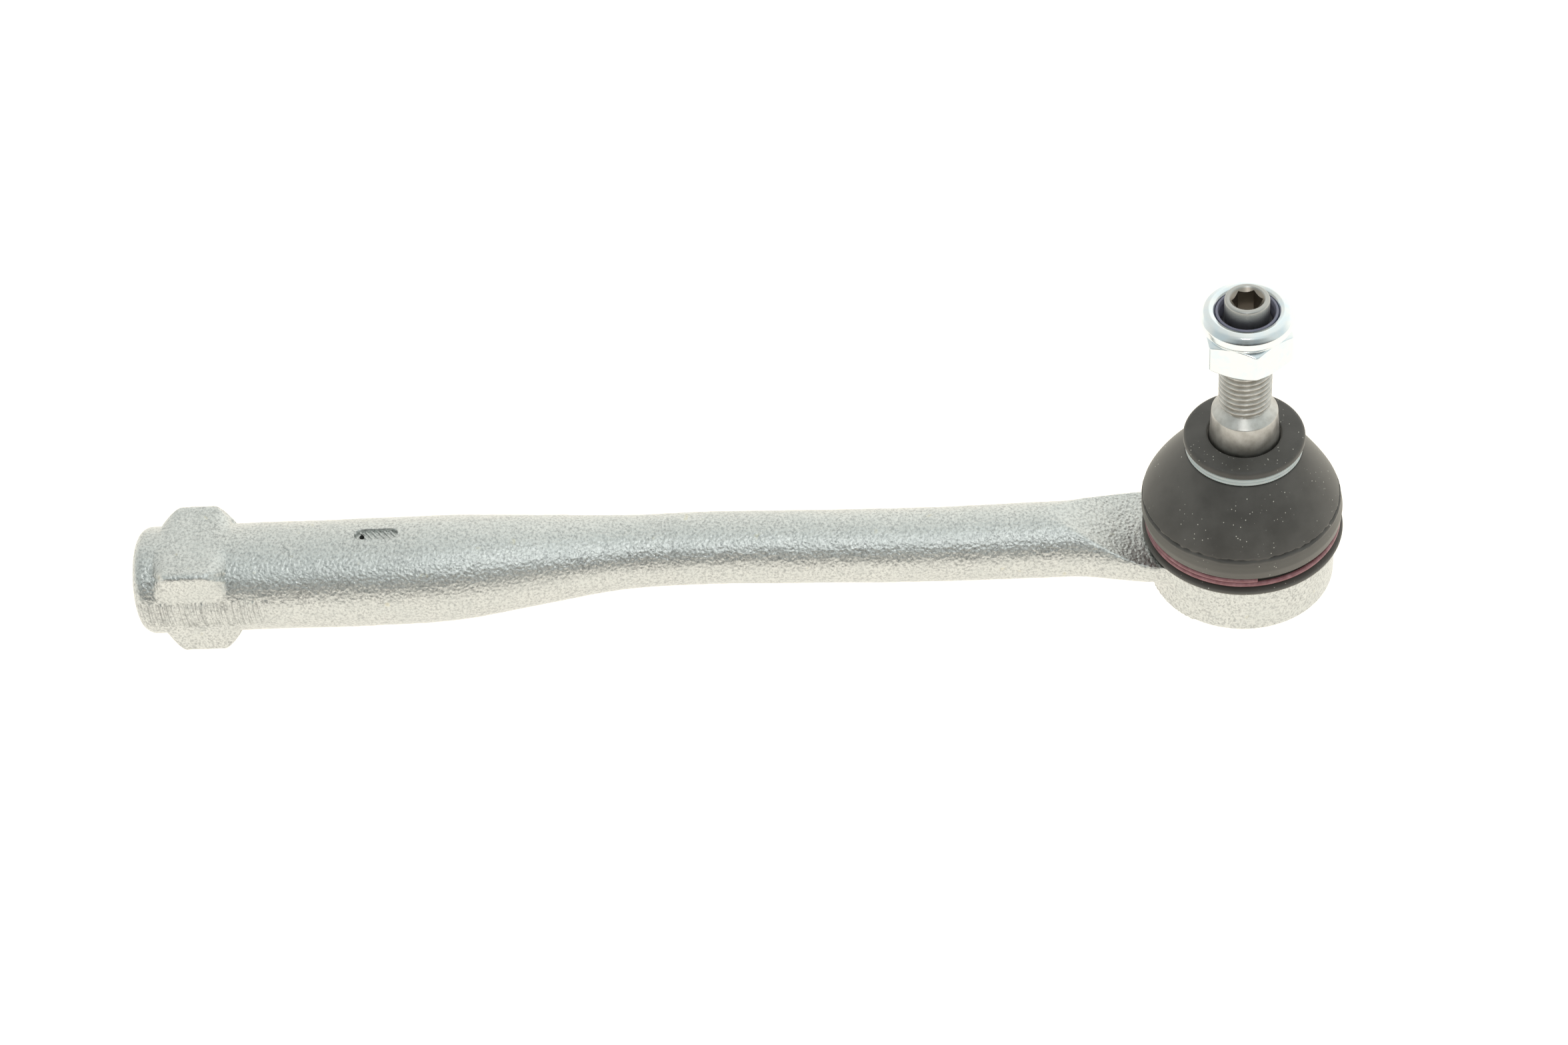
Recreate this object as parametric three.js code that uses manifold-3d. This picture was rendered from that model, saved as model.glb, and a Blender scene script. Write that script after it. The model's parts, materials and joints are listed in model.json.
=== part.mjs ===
// Outer tie rod end of a car's steering, with its ball joint, dust boot and lock nut.
// Millimetres, +Z up. The stud's axis is Z and the arm runs along -X. The origin is the centre of
// the closing plate's outer face, and the part lies on the plane z = 0.
import * as THREE from "three";
import { mergeVertices } from "three/addons/utils/BufferGeometryUtils.js";
import Module from "manifold-3d";

const wasm = await Module();
wasm.setup();

// ---------------------------------------------------------------- driving dimensions
const gap = 0.3; // between neighbours that touch on the real part
const runningGap = 0.1; // round pieces that turn or slide in each other

// the forging: sleeve, spanner boss, arm
const length = 262.2; // stud axis to the sleeve's end face
const sleeveRadius = 12.8;
const sleeveLength = 66.8; // end face to where the shoulder starts
const shoulderLength = 58; // sleeve easing down to the arm
const armRadius = 8.6; // at the thinnest place
const armSwell = 0.8; // extra radius where the arm nears the cup
const armDrop = 1.2; // how far the arm's axis comes down towards the cup
const rampLength = 23; // over which the arm's top comes down to clear the boot
const rampBeforeCup = 1.5; // it is down this far before the cup
const flareLength = 19; // over which the arm's sides widen into the cup
const flareReach = 0.8; // share of the cup's radius at which they have run in
const flareWidth = 3.6; // how much wider each side is where it meets the cup
const sleeveEdge = 2; // rounding of the end face's outer edge
const armOffset = 1.7; // how far back the arm's axis lies in plan
const sleeveOffset = 0.9; // and how far forward the sleeve's inner end does
const boreThreadRadius = 9; // M18 x 1.5 female thread
const boreThreadDepth = 0.81;
const boreLength = 62;
const boreChamfer = 1;
const drillPoint = 118; // degrees
const slotLength = 10.7; // shallow slot over the bore
const slotWidth = 3.7;
const slotDepth = 1.5;
const slotFromEnd = 58.7; // its centre
const slotHoleRadius = 0.85; // through to the bore at the slot's outer end
const bossFromEnd = 6.6; // end face to the boss's near side
const bossLength = 15.4;
const bossBevel = 2.2; // slope at the boss's two ends
const bossFlats = 24.4; // across the spanner flats
const bossCorner = 1.4;

// the ball cup
const cupWall = 5.9;
const lipThickness = 1;
const lipReach = 1.8; // rolled inwards over the plate
const cupEdge = 0.8; // chamfer round the underside
const plateSeat = 1.1; // how much wider than the bore the plate's seat is
const bootGrooveDrop = 6.2; // groove's floor below the ball's centre
const bootGrooveDepth = 1.7;
const bootGrooveHeight = 3.6;
const collarRadiusDrop = 0.9; // retaining collar above the groove, below the cup's radius
const collarHeight = 1.8;
const cupNeckWall = 3;
const cupNeckEdge = 1;
const cupAboveShell = 2; // the cup's mouth above the upper shell
const boreTaperRise = 1.5; // above the ball's centre, where the bore starts to close in
const mouthClearance = 0.35; // between the cup's mouth and the neck at full tilt
const fullTilt = 26; // degrees, the ball joint's limit

// inside the cup
const ballRadius = 12.5;
const ballPlay = 0.2; // ball to plastic shell, all round
const shellThickness = 2.6;
const shellBase = 1.7;
const shellHole = 3; // radius of the grease hole under the ball
const shellChamfer = 4;
const shellMouth = 4.6; // top of the upper shell above the ball's centre
const springThickness = 0.6;
const springHeight = 1.5;
const springInnerRadius = 7;
const plateThickness = 1.8;
const plateStep = 1.3; // the plate's middle is pressed out to lie level with the lip

// the stud
const threadRadius = 6; // M12 x 1.5
const threadPitch = 1.5;
const threadDepth = 0.92;
const threadLeadIn = 1; // length of the thread's chamfered end, past its depth
const neckStep = 5.5; // from the ball's radius down to the neck's
const neckRise = 3.2; // the neck widens into the taper over this height
const taperLowRadius = 8.42;
const taperLength = 14.4;
const taperRatio = 1 / 8; // on the diameter
const taperAboveBall = 16.9; // large end above the ball's centre
const taperChamfer = 1.7;
const threadLength = 25.9;
const tipRelief = 0.08; // the tip is turned to just under the thread's root
const tipLength = 5.9;
const tipChamfer = 0.7;
const socketFlats = 6;
const socketDepth = 6;
const socketTurn = 0; // degrees
const ballFlatRadius = 4;

// the nut
const nutFlats = 19;
const nutTurn = 37; // degrees, as the nut stands at rest
const nutHexHeight = 8.2;
const nutHeight = 12.8;
const nutRise = 16; // its lower face above the start of the thread
const nutCollarRadius = 10.5;
const nutCollarWaist = 1.1; // the collar is narrower by this where it leaves the hexagon
const nutCollarEdge = 1.3;
const nutRimOpening = 7.2;
const nutRimThickness = 1.3;
const nutRimSlope = 0.5;
const nutMouthChamfer = 0.8;
const insertHeight = 3;
const insertRadius = 8.6;
const insertChamfer = 0.4;
const threadPlay = 0.2; // radial, between the nut's thread and the stud's

// the boot and its rings
const bootWall = 1.8;
const bootBulge = 1.4; // how far the boot at its widest stands out from the cup
const bootBeadBulge = 1.8; // and its bead
const bootBeadHeight = 1;
const bootWidestRise = 7.2; // the widest place above the top of the cup's groove
const bootCollarGap = 2.2; // the boot's inside turns out over the cup's collar this far above it
const bootGrip = 7.3; // how far the boot's collar reaches up the taper
const bootGripStart = 0.8; // and where it starts
const bootLipWall = 5.43; // the top lip beyond the taper's large end
const bootLipThickness = 2.2;
const bootLipEdge = 0.5;
const wireDiameter = 1.2;
const wireInset = 0.2; // from the boot's widest place in to the wire's outside
const wireSpace = 0.15; // between the turns
const wireTurns = 1.6;
const wireClearance = 0.2; // above and below the turns
const bandHeight = 2; // pale band round the boot's collar
const bandThickness = 1.8;
const bandWall = 4.98; // the band's outside beyond the taper's large end
const bandEdge = 0.3;

// ---------------------------------------------------------------- worked out from them
const axisZ = sleeveRadius; // height of the sleeve's axis: sleeve and cup lie on one plane
const endX = -length;
const socketRadius = ballRadius + ballPlay;
const shellRadius = socketRadius + shellThickness;
const cupBore = shellRadius + gap;
const cupRadius = cupBore + cupWall;
const plateBore = cupBore + plateSeat;
const lipRadius = plateBore - lipReach;
const plateZ = lipThickness + gap;
const springZ = plateZ + plateThickness + gap;
const ballZ = springZ + springHeight + gap + shellBase + ballPlay + ballRadius;
const tilt = THREE.MathUtils.degToRad(fullTilt);
const neckRadius = ballRadius - neckStep;
const mouthZ = ballZ + shellMouth + cupAboveShell; // top of the cup
const mouthRadius =
  (neckRadius + mouthClearance + (mouthZ - ballZ) * Math.sin(tilt)) / Math.cos(tilt);
const coneZ = ballZ + boreTaperRise;
const grooveZ = ballZ - bootGrooveDrop; // floor of the boot's groove, the cup's shoulder
const grooveTop = grooveZ + bootGrooveHeight;
const grooveRadius = cupRadius - bootGrooveDepth;
const collarRadius = cupRadius - collarRadiusDrop;

const taperZ = ballZ + taperAboveBall;
const taperTopZ = taperZ + taperLength;
const taperTopRadius = taperLowRadius - (taperLength * taperRatio) / 2;
const threadZ = taperTopZ + taperChamfer;
const threadTopZ = threadZ + threadLength;
const tipZ = threadTopZ + tipLength;
const coreRadius = threadRadius - threadDepth;
const tipRadius = coreRadius - tipRelief;
const taperAt = (z) => taperLowRadius - ((z - taperZ) * taperRatio) / 2;

const nutZ = threadZ + nutRise;
const insertZ = nutZ + nutHeight - nutRimThickness - gap - insertHeight;

const bootRadius = cupRadius + bootBulge;
const bootBeadRadius = cupRadius + bootBeadBulge;
const bootLipRadius = taperLowRadius + bootLipWall;
const bandRadius = taperLowRadius + bandWall;
const bootTopZ = taperZ + bootGrip;
const bandZ = bootTopZ - bootLipThickness - gap - bandHeight;
const wireRadius = wireDiameter / 2;
const wireRingRadius = bootRadius - wireInset - wireRadius;
const wireZ = grooveZ + gap + bootBeadHeight + wireClearance;
const wirePitch = wireDiameter + wireSpace;
const wireTopZ = wireZ + wirePitch * wireTurns + wireDiameter;

// ---------------------------------------------------------------- helpers
const ROUND = 32; // segments round a full circle

const vec = (x, y) => new THREE.Vector2(x, y);

// An arc as points, from angle a to angle b in degrees.
function arc(cx, cy, r, a, b, steps) {
  return Array.from({ length: steps + 1 }, (_, i) => {
    const t = THREE.MathUtils.degToRad(a + ((b - a) * i) / steps);
    return vec(cx + r * Math.cos(t), cy + r * Math.sin(t));
  });
}

// A body of revolution about Z from (radius, height) points, given counter-clockwise seen with
// the radius to the right: LatheGeometry turns about Y, so it is stood up.
function revolve(points, segments = ROUND) {
  return new THREE.LatheGeometry(points, segments).rotateX(Math.PI / 2);
}

const closed = (points) => [...points, points[0]];

// A three.js geometry as a manifold-3d solid.
function solid(geometry) {
  const bare = geometry.clone();
  bare.deleteAttribute("normal");
  bare.deleteAttribute("uv");
  const merged = mergeVertices(bare, 1e-4);
  const made = new wasm.Manifold(
    new wasm.Mesh({
      numProp: 3,
      vertProperties: new Float32Array(merged.attributes.position.array),
      triVerts: new Uint32Array(merged.index.array),
    }),
  );
  if (made.volume() <= 0) throw new Error("a solid is inside out or empty");
  return made;
}

// And back: a solid as a BufferGeometry.
function geometryOf(body) {
  const mesh = body.getMesh();
  return new THREE.BufferGeometry()
    .setAttribute("position", new THREE.BufferAttribute(mesh.vertProperties, 3))
    .setIndex(new THREE.BufferAttribute(mesh.triVerts, 1));
}

// A straight prism from a shape in the XY plane, between two heights.
function prism(shape, low, high, segments = 12) {
  return new THREE.ExtrudeGeometry(shape, {
    depth: high - low,
    bevelEnabled: false,
    curveSegments: segments,
  }).translate(0, 0, low);
}

function hexagon(flats, turn) {
  const corner = flats / Math.sqrt(3);
  return new THREE.Shape(arc(0, 0, corner, turn, turn + 300, 5));
}

function obround(long, wide) {
  const half = (long - wide) / 2;
  return new THREE.Shape([
    ...arc(half, 0, wide / 2, -90, 90, 8),
    ...arc(-half, 0, wide / 2, 90, 270, 8),
  ]);
}

// A threaded rod along Z. Three vertices per turn of the profile (root, and both sides of the
// crest) run up helical lines, so that every crest is true. `grow` adds to the radius all over.
function threadedRod(low, high, grow, segments = 20) {
  const profile = [
    [0, coreRadius],
    [0.44, threadRadius],
    [0.56, threadRadius],
  ];
  const first = Math.floor((low - threadZ) / threadPitch) - 2;
  const turns = Math.ceil((high - threadZ) / threadPitch) + 1 - first;
  const rows = turns * profile.length;
  const positions = [];
  const indices = [];
  const rowOf = (i) => {
    const [phase, radius] = profile[i % profile.length];
    const z = threadZ + (first + Math.floor(i / profile.length) + phase) * threadPitch;
    return [z, radius + grow];
  };
  for (let i = 0; i <= rows; i++) {
    for (let j = 0; j < segments; j++) {
      const [z, radius] = rowOf(i);
      const a = (2 * Math.PI * j) / segments;
      positions.push(radius * Math.cos(a), radius * Math.sin(a), z + (threadPitch * j) / segments);
    }
  }
  const at = (i, j) => (j < segments ? i * segments + j : (i + profile.length) * segments);
  const last = rows - profile.length;
  for (let i = 0; i < last; i++) {
    for (let j = 0; j < segments; j++) {
      indices.push(at(i, j), at(i, j + 1), at(i + 1, j + 1));
      indices.push(at(i, j), at(i + 1, j + 1), at(i + 1, j));
    }
  }
  // each end is a fan from a point on the axis to one helical turn and the step that closes it
  const [lowPole, highPole] = [positions.length / 3, positions.length / 3 + 1];
  positions.push(0, 0, rowOf(0)[0] - threadPitch, 0, 0, rowOf(last)[0] + 2 * threadPitch);
  const rim = (i) => [
    ...Array.from({ length: segments }, (_, j) => at(i, j)),
    ...profile.map((_, k) => at(i + profile.length - k, 0)),
  ];
  const [lowRim, highRim] = [rim(0), rim(last)];
  lowRim.forEach((v, k) => indices.push(lowPole, lowRim[(k + 1) % lowRim.length], v));
  highRim.forEach((v, k) => indices.push(highPole, v, highRim[(k + 1) % highRim.length]));
  const rod = new THREE.BufferGeometry()
    .setAttribute("position", new THREE.Float32BufferAttribute(positions, 3))
    .setIndex(indices);
  return solid(rod);
}

// ---------------------------------------------------------------- the forging
const smooth = (t) => {
  const c = Math.min(1, Math.max(0, t));
  return c * c * (3 - 2 * c);
};

const shoulderX = endX + sleeveLength;
const armX = shoulderX + shoulderLength;
const rampEnd = -cupRadius - rampBeforeCup; // the arm's top is down to the cup's shoulder by here
const rampStart = rampEnd - rampLength;
const flareEnd = -flareReach * cupRadius; // where the arm's sides have run into the cup

// The arm's radius along X: sleeve, shoulder, thin arm, and a slight swell before the cup.
function rodRadius(x) {
  const towardsCup = Math.max(0, (x - armX) / -armX);
  const thin = armRadius + armSwell * towardsCup ** 2;
  return thin + (sleeveRadius - thin) * (1 - smooth((x - shoulderX) / shoulderLength));
}

// Its axis: level through the sleeve, stepping slightly back past the shoulder, down at the cup.
function rodAxis(x) {
  const pastShoulder = smooth((x - shoulderX) / shoulderLength);
  const back = armOffset * pastShoulder * (1 - smooth((x - armX) / (-armX / 2)));
  const forward = sleeveOffset * smooth((x - endX) / sleeveLength) * (1 - pastShoulder);
  return [back - forward, axisZ - armDrop * smooth((x - armX) / (rampStart - armX))];
}

// Highest z of the arm: the ramp that lets the boot's bead clear it.
function rampZ(x) {
  if (x <= rampStart) return Infinity;
  const [, z] = rodAxis(rampStart);
  const top = z + rodRadius(rampStart);
  return top + (grooveZ - gap / 2 - top) * smooth((x - rampStart) / rampLength);
}

// The rod as a loft of round sections across X, flared sideways and flattened on top at the cup.
function rod() {
  const around = 24;
  const edge = arc(endX + sleeveEdge, 0, sleeveEdge, 180, 90, 3).map((point) => point.x);
  const spaced = (from, to, n) =>
    Array.from({ length: n }, (_, i) => from + ((to - from) * (i + 1)) / n);
  const stations = [
    ...edge,
    ...spaced(endX + sleeveEdge, shoulderX, 3),
    ...spaced(shoulderX, armX, 7),
    ...spaced(armX, rampStart, 4),
    ...spaced(rampStart, rampEnd, 8),
    ...spaced(rampEnd, flareEnd, 3),
  ];
  const positions = [];
  const indices = [];
  for (const x of stations) {
    const intoEdge = Math.max(0, sleeveEdge - (x - endX));
    const trim = sleeveEdge - Math.sqrt(sleeveEdge ** 2 - intoEdge ** 2);
    const radius = rodRadius(x) - trim;
    const [y0, z0] = rodAxis(x);
    const flare = 1 + (flareWidth / radius) * Math.max(0, 1 + (x - flareEnd) / flareLength) ** 2;
    for (let j = 0; j < around; j++) {
      const a = (2 * Math.PI * j) / around;
      const y = y0 + radius * flare * Math.cos(a);
      const z = Math.min(z0 + radius * Math.sin(a), rampZ(x));
      positions.push(x, y, z);
    }
  }
  const rows = stations.length;
  for (let i = 0; i + 1 < rows; i++) {
    for (let j = 0; j < around; j++) {
      const k = (j + 1) % around;
      const [a, b, c, d] = [i * around + j, i * around + k, (i + 1) * around + k, (i + 1) * around + j];
      indices.push(a, b, c, a, c, d);
    }
  }
  for (let j = 1; j + 1 < around; j++) {
    indices.push(0, j + 1, j);
    const top = (rows - 1) * around;
    indices.push(top, top + j, top + j + 1);
  }
  return new THREE.BufferGeometry()
    .setAttribute("position", new THREE.Float32BufferAttribute(positions, 3))
    .setIndex(indices);
}

// The spanner boss: a rounded square across the sleeve. Its corners stand out of the sleeve, and
// a turned outline, a quarter of an ellipse at each end, rounds them down.
function boss() {
  const halfY = bossFlats / 2;
  const halfZ = sleeveRadius;
  const c = bossCorner;
  const half = bossLength / 2;
  const far = Math.hypot(halfY, halfZ); // the square's own corner
  const foot = Math.min(halfY, halfZ) - 1; // inside the sleeve
  const square = new THREE.Shape([
    ...arc(halfY - c, halfZ - c, c, 0, 90, 3),
    ...arc(c - halfY, halfZ - c, c, 90, 180, 3),
    ...arc(c - halfY, c - halfZ, c, 180, 270, 3),
    ...arc(halfY - c, c - halfZ, c, 270, 360, 3),
  ]);
  const round = arc(0, 0, 1, 0, 90, 3).map((p) => [
    foot + (far - foot) * p.y,
    half - bossBevel * (1 - p.x),
  ]);
  const ends = revolve([
    vec(0, -half),
    ...round.map(([radius, along]) => vec(radius, -along)),
    ...round.reverse().map(([radius, along]) => vec(radius, along)),
    vec(0, half),
  ]);
  const across = solid(prism(square, -half - 1, half + 1)).intersect(solid(ends));
  return geometryOf(across)
    .rotateX(Math.PI / 2)
    .rotateZ(Math.PI / 2)
    .translate(endX + bossFromEnd + half, 0, axisZ);
}

// The cup's outside, with the groove for the boot's bead and the neck inside the boot.
function cupOutside() {
  return revolve([
    vec(0, 0),
    vec(cupRadius - cupEdge, 0),
    vec(cupRadius, cupEdge),
    vec(cupRadius, grooveZ),
    vec(grooveRadius, grooveZ),
    vec(grooveRadius, grooveTop),
    vec(collarRadius, grooveTop + collarRadiusDrop / 3),
    vec(collarRadius, grooveTop + collarHeight),
    vec(mouthRadius + cupNeckWall, mouthZ - cupNeckEdge),
    vec(mouthRadius + cupNeckWall - cupNeckEdge, mouthZ),
    vec(0, mouthZ),
  ]);
}

// The hollow for shells, spring and plate: open below inside the rolled lip, and at the mouth.
function cupHollow() {
  return revolve([
    vec(0, -1),
    vec(lipRadius, -1),
    vec(lipRadius, lipThickness),
    vec(plateBore, lipThickness),
    vec(plateBore, springZ),
    vec(cupBore, springZ),
    vec(cupBore, coneZ),
    vec(mouthRadius, coneZ + cupBore - mouthRadius),
    vec(mouthRadius, mouthZ + 1),
    vec(0, mouthZ + 1),
  ]);
}

// The sleeve's bore, at its thread's inner radius, with a chamfered mouth and a drill point.
function sleeveBore() {
  const minor = boreThreadRadius - boreThreadDepth;
  const mouth = boreThreadRadius + boreChamfer / 2;
  const point = minor / Math.tan(THREE.MathUtils.degToRad(drillPoint / 2));
  return new THREE.LatheGeometry(
    [
      vec(0, -1),
      vec(mouth, -1),
      vec(mouth, 0),
      vec(minor, mouth - minor),
      vec(minor, boreLength),
      vec(0, boreLength + point),
    ],
    ROUND,
  )
    .rotateZ(-Math.PI / 2)
    .translate(endX, 0, axisZ);
}

// A shallow slot in the sleeve's top, and the small hole that breaks through to the bore.
function sightSlot() {
  const slotX = endX + slotFromEnd;
  const [slotY, outside] = [rodAxis(slotX)[0], axisZ + sleeveRadius + 2];
  const floor = axisZ + sleeveRadius - slotDepth;
  const circle = new THREE.Shape(arc(0, 0, slotHoleRadius, 0, 330, 11));
  const hole = prism(circle, axisZ, floor + 1).translate((slotWidth - slotLength) / 2, 0, 0);
  const slot = solid(prism(obround(slotLength, slotWidth), floor, outside)).add(solid(hole));
  return geometryOf(slot).translate(slotX, slotY, 0);
}

function housing() {
  const body = solid(rod()).add(solid(boss())).add(solid(cupOutside()));
  return geometryOf(
    body.subtract(solid(cupHollow())).subtract(solid(sleeveBore())).subtract(solid(sightSlot())),
  );
}

// ---------------------------------------------------------------- inside the cup
function closingPlate() {
  const rim = plateBore - gap;
  const middle = lipRadius - gap - plateStep;
  return revolve([
    vec(0, 0),
    vec(middle, 0),
    vec(middle + plateStep, plateZ),
    vec(rim, plateZ),
    vec(rim, plateZ + plateThickness),
    vec(middle, plateZ + plateThickness),
    vec(middle - plateStep, plateThickness),
    vec(0, plateThickness),
  ]);
}

// A cone of sheet steel: wide edge down on the plate, narrow edge up under the shell.
function preloadSpring() {
  const wide = cupBore - 2 * gap;
  const rise = springHeight - springThickness;
  return revolve(
    closed([
      vec(wide, springZ),
      vec(wide, springZ + springThickness),
      vec(springInnerRadius, springZ + rise + springThickness),
      vec(springInnerRadius, springZ + rise),
    ]),
  );
}

function bearingShellLower() {
  const low = springZ + springHeight + gap;
  const level = ballZ - gap / 2;
  const hollowFrom = -90 + THREE.MathUtils.radToDeg(Math.asin(shellHole / socketRadius));
  const rim = THREE.MathUtils.radToDeg(Math.asin((level - ballZ) / socketRadius));
  return revolve(
    closed([
      vec(shellHole, low),
      vec(shellRadius - shellChamfer, low),
      vec(shellRadius, low + shellChamfer),
      vec(shellRadius, level),
      ...arc(0, ballZ, socketRadius, rim, hollowFrom, 6),
    ]),
  );
}

function bearingShellUpper() {
  const low = ballZ + gap / 2;
  const top = ballZ + shellMouth;
  const coneGap = gap * Math.SQRT2;
  const coneRadius = (z) => cupBore - (z - coneZ) - coneGap;
  const from = THREE.MathUtils.radToDeg(Math.asin((low - ballZ) / socketRadius));
  const to = THREE.MathUtils.radToDeg(Math.asin(shellMouth / socketRadius));
  return revolve(
    closed([
      vec(shellRadius, low),
      vec(shellRadius, coneZ - coneGap + gap),
      vec(coneRadius(top), top),
      ...arc(0, ballZ, socketRadius, to, from, 3),
    ]),
  );
}

// ---------------------------------------------------------------- the stud
function ballStud() {
  const flat = Math.asin(ballFlatRadius / ballRadius);
  const leave = Math.acos(neckRadius / ballRadius);
  const { radToDeg } = THREE.MathUtils;
  const blank = revolve([
    vec(0, ballZ - ballRadius * Math.cos(flat)),
    ...arc(0, ballZ, ballRadius, radToDeg(flat) - 90, radToDeg(leave), 12),
    vec(neckRadius, taperZ - neckRise),
    vec(taperLowRadius, taperZ),
    vec(taperTopRadius, taperTopZ),
    vec(coreRadius, threadZ),
    vec(tipRadius, threadZ + tipRelief),
    vec(tipRadius, tipZ - tipChamfer),
    vec(tipRadius - tipChamfer, tipZ),
    vec(0, tipZ),
  ]);
  const [outside, overlap] = [threadRadius + 1, threadPitch / 3];
  const threadLimit = revolve([
    vec(0, threadZ - overlap),
    vec(outside, threadZ - overlap),
    vec(outside, threadTopZ - threadDepth - threadLeadIn),
    vec(coreRadius, threadTopZ),
    vec(0, threadTopZ),
  ]);
  const thread = threadedRod(threadZ, threadTopZ, 0).intersect(solid(threadLimit));
  const socket = prism(hexagon(socketFlats, socketTurn), tipZ - socketDepth, tipZ + 1);
  return geometryOf(solid(blank).add(thread).subtract(solid(socket)));
}

// ---------------------------------------------------------------- the nut
function lockNut() {
  const corner = nutFlats / Math.sqrt(3);
  const bevel = (corner - nutFlats / 2) * Math.tan(Math.PI / 6); // 30 degrees off the corners
  const waist = nutCollarRadius - nutCollarWaist;
  const top = nutZ + nutHeight;
  const hex = solid(prism(hexagon(nutFlats, nutTurn), nutZ, nutZ + nutHexHeight));
  const turned = revolve([
    vec(0, nutZ),
    vec(nutFlats / 2, nutZ),
    vec(corner, nutZ + bevel),
    vec(corner, nutZ + nutHexHeight - bevel),
    vec(waist, nutZ + nutHexHeight),
    vec(0, nutZ + nutHexHeight),
  ]);
  const collar = revolve([
    vec(0, nutZ + 1),
    vec(waist, nutZ + 1),
    vec(waist, nutZ + nutHexHeight),
    vec(nutCollarRadius, nutZ + nutHexHeight + nutCollarWaist),
    vec(nutCollarRadius, top - nutCollarEdge),
    vec(nutCollarRadius - nutCollarEdge, top),
    vec(0, top),
  ]);
  const pocket = revolve([
    vec(0, insertZ - gap),
    vec(insertRadius + gap, insertZ - gap),
    vec(insertRadius + gap, insertZ + insertHeight + gap),
    vec(nutRimOpening, insertZ + insertHeight + gap),
    vec(nutRimOpening + nutRimSlope, top + 0.01),
    vec(0, top + 0.01),
  ]);
  const mouth = revolve([
    vec(0, nutZ - 0.01),
    vec(threadRadius + nutMouthChamfer, nutZ - 0.01),
    vec(coreRadius, nutZ + nutMouthChamfer + threadDepth),
    vec(0, nutZ + nutMouthChamfer + threadDepth),
  ]);
  const thread = threadedRod(nutZ - 1, insertZ, threadPlay);
  return geometryOf(
    hex
      .intersect(solid(turned))
      .add(solid(collar))
      .subtract(solid(pocket))
      .subtract(solid(mouth))
      .subtract(thread),
  );
}

function nutInsert() {
  const bore = threadRadius + runningGap;
  return revolve(
    closed([
      vec(bore, insertZ),
      vec(insertRadius, insertZ),
      vec(insertRadius, insertZ + insertHeight),
      vec(bore + insertChamfer, insertZ + insertHeight),
      vec(bore, insertZ + insertHeight - insertChamfer),
    ]),
  );
}

// ---------------------------------------------------------------- the boot and its rings
function dustBoot() {
  const beadInner = grooveRadius + gap;
  const beadZ = grooveZ + gap;
  const wireSeat = wireRingRadius - wireRadius - gap;
  const widestZ = grooveTop + bootWidestRise;
  const seatZ = bandZ - gap; // shelf under the band
  const bandSeat = bandRadius - bandThickness - gap;
  const dome = (t) => bootRadius - (bootRadius - bandRadius) * t ** 1.25;
  const outer = [];
  const inner = [];
  const steps = 6;
  for (let i = 0; i <= steps; i++) {
    const t = i / steps;
    outer.push(vec(dome(t), widestZ + (seatZ - widestZ) * t));
    inner.push(vec(dome(t) - bootWall, widestZ + (seatZ - bootWall - widestZ) * t));
  }
  const collarLow = taperZ + bootGripStart;
  return revolve(
    closed([
      vec(beadInner, beadZ),
      vec(bootBeadRadius, beadZ),
      vec(bootBeadRadius, beadZ + bootBeadHeight),
      vec(wireSeat, beadZ + bootBeadHeight),
      vec(wireSeat, wireTopZ + wireClearance),
      vec(bootRadius, wireTopZ + 3 * wireClearance),
      ...outer,
      vec(bandSeat, seatZ),
      vec(bandSeat, bootTopZ - bootLipThickness),
      vec(bootLipRadius, bootTopZ - bootLipThickness),
      vec(bootLipRadius, bootTopZ - bootLipEdge),
      vec(bootLipRadius - bootLipEdge, bootTopZ),
      vec(taperAt(bootTopZ) + gap, bootTopZ),
      vec(taperAt(collarLow) + gap, collarLow),
      ...inner.reverse(),
      vec(collarRadius + gap, grooveTop + bootCollarGap),
      vec(collarRadius + gap, grooveTop - gap),
      vec(beadInner, grooveTop - gap),
    ]),
  );
}

// The coated wire that clamps the bead: a little over a turn and a half, its ends cut off square.
function bootLowerRing() {
  class Coil extends THREE.Curve {
    getPoint(t, target = new THREE.Vector3()) {
      const a = 2 * Math.PI * wireTurns * t;
      const z = wireZ + wireRadius + wirePitch * wireTurns * t;
      return target.set(wireRingRadius * Math.cos(a), wireRingRadius * Math.sin(a), z);
    }
  }
  const section = new THREE.Shape(arc(0, 0, wireRadius, 0, 300, 5));
  return new THREE.ExtrudeGeometry(section, {
    steps: Math.round(28 * wireTurns),
    bevelEnabled: false,
    extrudePath: new Coil(),
  }).rotateZ(-Math.PI / 3);
}

function bootUpperRing() {
  const innerRadius = bandRadius - bandThickness;
  return revolve(
    closed([
      vec(innerRadius, bandZ),
      vec(bandRadius - bandEdge, bandZ),
      vec(bandRadius, bandZ + bandEdge),
      vec(bandRadius, bandZ + bandHeight - bandEdge),
      vec(bandRadius - bandEdge, bandZ + bandHeight),
      vec(innerRadius, bandZ + bandHeight),
    ]),
  );
}

// ---------------------------------------------------------------- the scene
const finish = (color, roughness, metalness) =>
  new THREE.MeshStandardMaterial({ color, roughness, metalness });
const zincedForging = finish(0xc4c8c4, 0.55, 0.9);
const brightSteel = finish(0xb9b4aa, 0.3, 1);
const brightZinc = finish(0xd5dcdf, 0.2, 1);
const springSteel = finish(0x7b7d80, 0.4, 1);
const acetal = finish(0xe6e2d6, 0.5, 0);
const rubber = finish(0x55534e, 0.8, 0);
const coatedWire = finish(0x82484d, 0.5, 0);
const paleBand = finish(0xbec6c6, 0.5, 0);
const nylon = finish(0x4a4a78, 0.5, 0);

const tieRodEnd = new THREE.Group();
function place(name, geometry, material) {
  const mesh = new THREE.Mesh(geometry, material);
  mesh.name = name;
  tieRodEnd.add(mesh);
}

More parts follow.
